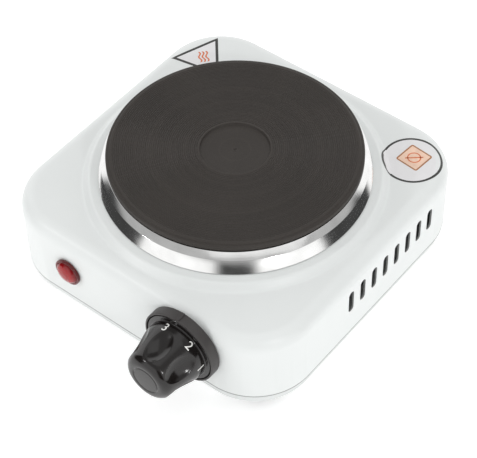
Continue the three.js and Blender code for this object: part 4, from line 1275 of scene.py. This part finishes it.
class HOTPLATE_OT_marks(bpy.types.Operator):
    """Two plain marks printed on the top: a round one and a three-cornered one, with no lettering"""

    bl_idname = "hotplate.marks"
    bl_label = "Printed marks"

    def execute(self, context):
        shell = bpy.data.objects["housing_shell"]
        axis = middle("hot_plate")
        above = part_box("housing")[1].z + 4 * MM
        film = plain("Clear print varnish", linear("#E6E5E6"), 0.3, (0.3, 0.4), 0.002, spread=0.015)
        dark = printed("Grey-black ink, screen printed", colours().mark)
        orange = printed("Orange ink, screen printed", colours().accent)
        pale = printed("Pale orange ink, screen printed", linear("#F0CDB6"))
        brown = printed("Brown ink, screen printed", linear("#A8744E"))
        disc_at = (axis.x + 50.5 * MM, axis.y + 47.8 * MM, above)
        panel_at = (axis.x + 50.4 * MM, axis.y + 49.4 * MM, above)
        corner_at = (axis.x - 52.8 * MM, axis.y + 44.2 * MM, above)
        panel = 10.4 * MM
        # Each print with its place, its turn in degrees, its height over the enamel in mm, and its ink.
        prints = [
            (flat_disc("round_mark_film", 11.7 * MM, 64, 8), disc_at, 0, 0.03, film),
            (flat_frame("round_mark_ring", 12.1 * MM, 0.9 * MM, 96, 2), disc_at, 0, 0.05, dark),
            (self.panel(panel), panel_at, -5, 0.05, pale),
            (hollowed(self.square("round_mark_frame", panel), 0.6 * MM, 5), panel_at, -5, 0.07, brown),
            (flat_frame("round_mark_disc", 2.8 * MM, 0.5 * MM, 40, 1), panel_at, 0, 0.07, orange),
            (flat_disc("corner_mark_film", 12.6 * MM, 3, 24), corner_at, 10, 0.03, film),
            (flat_frame("corner_mark_frame", 13.2 * MM, 1.15 * MM, 3, 20), corner_at, 10, 0.05, dark),
            (self.bar(3.6 * MM, 0.3 * MM), panel_at, 40, 0.07, orange),
        ]
        for offset in (-1.5, 0, 1.5):
            prints.append((self.wave(offset * MM), corner_at, 48, 0.05, orange))
        for piece, at, turn, height, ink in prints:
            place(piece, at, (0, 0, math.radians(turn)))
            laid_on(piece, shell, height * MM)
            piece.name = piece.name.replace(".", "_")
            finished(piece, ink, "enamel")
        return {"FINISHED"}

    def square(self, name, side):
        """A flat square with rounded corners."""
        piece = started(name, bpy.ops.mesh.primitive_plane_add, size=side)
        edit(piece)
        bpy.ops.mesh.bevel(offset=0.9 * MM, segments=5, affect="VERTICES")
        leave()
        return piece

    def panel(self, side):
        """The same square, made of triangles that can follow the top."""
        piece = self.square("round_mark_panel", side)
        edit(piece)
        bpy.ops.mesh.quads_convert_to_tris()
        bpy.ops.mesh.poke()
        leave()
        return split(piece, 3)

    def bar(self, reach, half):
        """A flat bar across the round mark's circle."""
        piece = box("round_mark_bar", (-reach, -half, 0), (reach, half, 0.01 * MM))
        delete_faces(piece, lambda co, n: n.z < 0.9)
        return split(piece, 8)

    def wave(self, offset):
        """One wavy stroke, flat in the XY plane."""
        steps, tall, swing, width = 24, 6.4 * MM, 0.45 * MM, 0.7 * MM
        points = []
        for i in range(steps + 1):
            share = i / steps
            points.append((tall * (share - 0.5), offset + swing * math.sin(share * 3 * math.pi)))
        stroke = wire("corner_mark_wave", points)
        edit(stroke)
        drawn_out(0, 0, width)
        leave()
        place(stroke, turn=OUT_OF_FRONT)
        place(stroke, turn=(0, 0, math.pi / 2))
        return stroke


# ---------------------------------------------------------------- what is inside

def refined(node, finish, slot, edge, body):
    """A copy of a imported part, merged, with its edges softened, or subdivided where edge is 0."""
    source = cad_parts[node]
    piece = bpy.data.objects.new(f"{node}_piece", source.data.copy())
    bpy.context.scene.collection.objects.link(piece)
    edit(piece)
    bpy.ops.mesh.remove_doubles(threshold=1e-6)
    bpy.ops.mesh.customdata_custom_splitnormals_clear()
    if edge:
        bpy.ops.mesh.dissolve_limited(angle_limit=math.radians(1))
        leave()
        soften(piece, edge * MM, 40)
        smooth(piece, 40)
    else:
        bpy.ops.mesh.tris_convert_to_quads()
        leave()
        modify(piece, "SUBSURF", levels=2, render_levels=2)
        smooth(piece, 60)
    finished(piece, finish, slot, node, body=body)


class HOTPLATE_OT_inside(bpy.types.Operator):
    """Element, clamp, thermostat, lamp, terminals, posts and wires inside the housing"""

    bl_idname = "hotplate.inside"
    bl_label = "Inner parts"

    def execute(self, context):
        brown = insulation("Brown silicone insulation, extruded", "#6B3F24")
        blue = insulation("Blue silicone insulation, extruded", "#2F5F9E")
        green = insulation("Green silicone insulation, extruded", "#4D8A2F")
        # Each finish with its slot, the softened edge in mm (0 for round bars and wires), and its parts.
        for finish, slot, edge, nodes in (
            (zinc_plate(), "zinc_plate", 0.15, [f"corner_post_{corner}" for corner in CORNERS]),
            (heater_cement(), "cement", 0.15, ["element_insulation"]),
            (rolled_steel(), "inner_steel", 0.1, ["heat_shield"]),
            (rolled_steel(), "inner_steel", 0, ["heating_element"]),
            (zinc_plate(), "zinc_plate", 0.1, [
                "clamp_bridge", "clamp_washer", "plate_stud", "thermostat_bracket", "lamp_retainer",
                "thermostat_screw_left", "thermostat_screw_right"]),
            (turned_brass(), "brass", 0.1, [
                "thermostat_bush", "bimetal_blade", "contact_blade", "earth_tag", "mains_screw_1",
                "mains_screw_2", "mains_screw_3", "element_terminal_screw_left",
                "element_terminal_screw_right"]),
            (steatite(), "ceramic", 0.3, [
                "thermostat_base", "blade_post", "blade_spacer", "element_terminal_block"]),
            (terminal_nylon(), "nylon", 0.3, ["mains_terminal_block", "lamp_cap"]),
            (lamp_glass(), "bulb_glass", 0.1, ["neon_bulb"]),
            (rolled_steel(), "inner_steel", 0.15, ["thermostat_shaft"]),
            (brown, "brown_wire", 0, ["wire_live", "wire_heater", "lamp_wire_live"]),
            (blue, "blue_wire", 0, ["wire_neutral", "lamp_wire_neutral"]),
            (green, "green_wire", 0, ["wire_earth"]),
        ):
            for node in nodes:
                body = "knob" if node == "thermostat_shaft" else "base"
                refined(node, finish, slot, edge, body)
        return {"FINISHED"}


# ---------------------------------------------------------------- stage

def studio_paper():
    """White paper sweep: even and matt."""
    return plain("White paper, lit from below", linear("#FCFCFC"), 3, (0.85, 0.95), 0.01, spread=0.003,
                 Emission_Color=(1, 1, 1, 1), Emission_Strength=0.33)


# Dark gaps between the studio's light banks, and the dim part of the wall above them:
# (polar angle of the middle, half width) in degrees.
STUDIO_GAPS = ((-52, 15), (-151, 26), (40, 25))
DIM_SECTOR = (128, 26)

# Brightness of the banks, the gaps, the wall, its dim part, the bank overhead and the backdrop.
BANK, BANK_GAP, WALL, DIM_WALL, OVERHEAD, BACKDROP = 1.3, 0.06, 0.55, 0.28, 0.62, 1.05


class HOTPLATE_OT_stage(bpy.types.Operator):
    """White paper floor, soft studio light and the camera"""

    bl_idname = "hotplate.stage"
    bl_label = "Studio"

    def execute(self, context):
        scene = context.scene
        scene.view_settings.view_transform = "Standard"
        self.floor()
        self.world(scene)
        self.lights()
        self.camera(scene)
        return {"FINISHED"}

    def floor(self):
        """A round sheet of white paper under the feet."""
        paper = started(
            "paper_floor", bpy.ops.mesh.primitive_circle_add, vertices=96, radius=0.6, fill_type="NGON")
        paper.data.materials.append(studio_paper())

    def world(self, scene):
        """A soft white room. Gloss sees bright banks low down with dark gaps, and a bank overhead."""
        world = bpy.data.worlds.new("Studio")
        world.use_nodes = True
        tree = world.node_tree
        tree.nodes.clear()
        direction = add_node(tree, "TexCoord", output="Generated")
        level = add_node(tree, "SeparateXYZ", {0: direction}, 2)
        flat = add_node(tree, "VectorMath", {0: direction, 1: (1, 1, 0)}, operation="MULTIPLY")
        heading = add_node(tree, "VectorMath", {0: flat}, operation="NORMALIZE")
        gap = 0.0
        for degrees, half in STUDIO_GAPS:
            inside = self.sector(tree, heading, degrees, half)
            gap = add_node(tree, "Math", {0: inside, 1: gap}, operation="MAXIMUM")
        bank = add_node(tree, "MapRange", {"Value": gap, **span(BANK, BANK_GAP, 0, 1)})
        dim = self.sector(tree, heading, *DIM_SECTOR)
        wall = add_node(tree, "MapRange", {"Value": dim, **span(WALL, DIM_WALL, 0, 1)})
        zenith = add_node(tree, "MapRange", {"Value": level, **span(0, 1, 0.86, 0.95)})
        upper = add_node(tree, "Mix", {0: zenith, 2: wall, 3: OVERHEAD})
        low_down = add_node(tree, "MapRange", {"Value": level, **span(1, 0, 0.56, 0.64)})
        gloss = add_node(tree, "Mix", {0: low_down, 2: upper, 3: bank})
        by_gloss = add_node(tree, "LightPath", output="Is Glossy Ray")
        soft = add_node(tree, "Mix", {0: by_gloss, 2: scene.hot_plate_studio.world, 3: gloss})
        by_camera = add_node(tree, "LightPath", output="Is Camera Ray")
        power = add_node(tree, "Mix", {0: by_camera, 2: soft, 3: BACKDROP})
        background = add_node(tree, "Background", {"Color": (1, 1, 1, 1), "Strength": power})
        add_node(tree, "OutputWorld", {"Surface": background})
        scene.world = world

    def sector(self, tree, heading, degrees, half):
        """1 for the headings within half an angle of a polar angle, and 0 for the rest."""
        angle = math.radians(degrees)
        toward = (math.cos(angle), math.sin(angle), 0)
        facing = add_node(tree, "VectorMath", {0: heading, 1: toward}, "Value", operation="DOT_PRODUCT")
        edge = math.cos(math.radians(half))
        return add_node(tree, "MapRange", {"Value": facing, **span(0, 1, edge - 0.02, edge + 0.02)})

    def lights(self):
        """A wide bank overhead and two smaller lamps that put highlights on the gloss."""
        for name, at, size, power in (
            ("bank_overhead", (0.1, 0.1, 1.1), 0.9, 1.2),
            ("lamp_right", (0.85, -0.35, 0.65), 0.07, 1.1),
            ("lamp_left", (-0.55, -0.75, 0.7), 0.07, 1.1),
        ):
            bpy.ops.object.light_add(type="AREA", location=at)
            light = bpy.context.active_object
            light.name = name
            light.data.size = size
            light.data.energy = power
            light.rotation_euler = Vector(at).to_track_quat("Z", "Y").to_euler()

    def camera(self, scene):
        """A long lens from above, in front and to the right."""
        studio = scene.hot_plate_studio
        a, e = studio.azimuth, studio.elevation
        back = Vector((math.sin(a) * math.cos(e), -math.cos(a) * math.cos(e), math.sin(e)))
        right = Vector((math.cos(a), math.sin(a), 0))
        turn = Matrix((right, back.cross(right), back)).transposed()
        roll = Matrix.Rotation(studio.roll, 3, "Z")
        bpy.ops.object.camera_add()
        camera = bpy.context.active_object
        camera.matrix_world = Matrix.Translation(Vector(studio.aim) + back * studio.distance) @ (
            turn @ roll).to_4x4()
        camera.data.lens = studio.lens
        camera.data.sensor_width = 36
        camera.data.clip_start = 0.01
        camera.data.dof.use_dof = False
        scene.camera = camera


# ---------------------------------------------------------------- add-on

PIECES = (
    HOTPLATE_OT_housing,
    HOTPLATE_OT_tray,
    HOTPLATE_OT_plate,
    HOTPLATE_OT_ring,
    HOTPLATE_OT_bezel,
    HOTPLATE_OT_knob,
    HOTPLATE_OT_lamp,
    HOTPLATE_OT_feet,
    HOTPLATE_OT_fixings,
    HOTPLATE_OT_gland,
    HOTPLATE_OT_marks,
    HOTPLATE_OT_inside,
    HOTPLATE_OT_stage,
)


class HOTPLATE_PT_pieces(bpy.types.Panel):
    """Lists the sizes and the pieces"""

    bl_idname = "HOTPLATE_PT_pieces"
    bl_label = "Hot plate burner"
    bl_space_type = "VIEW_3D"
    bl_region_type = "UI"
    bl_category = "Hot plate"

    def draw(self, context):
        scene = context.scene
        for group in (scene.hot_plate_sizes, scene.hot_plate_colours, scene.hot_plate_studio):
            column = self.layout.column(align=True)
            for name in group.__annotations__:
                column.prop(group, name)
        for operator in PIECES:
            self.layout.operator(operator.bl_idname)


GROUPS = (
    ("hot_plate_sizes", HotPlateSizes),
    ("hot_plate_colours", HotPlateColours),
    ("hot_plate_studio", HotPlateStudio),
)


def register():
    for name, group in GROUPS:
        bpy.utils.register_class(group)
        setattr(bpy.types.Scene, name, PointerProperty(type=group))
    for made in (*PIECES, HOTPLATE_PT_pieces):
        bpy.utils.register_class(made)


def unregister():
    for made in reversed((*PIECES, HOTPLATE_PT_pieces)):
        bpy.utils.unregister_class(made)
    for name, group in reversed(GROUPS):
        delattr(bpy.types.Scene, name)
        bpy.utils.unregister_class(group)


def main():
    register()
    for operator in PIECES:
        family, action = operator.bl_idname.split(".")
        getattr(getattr(bpy.ops, family), action)()


if __name__ == "__main__":
    main()
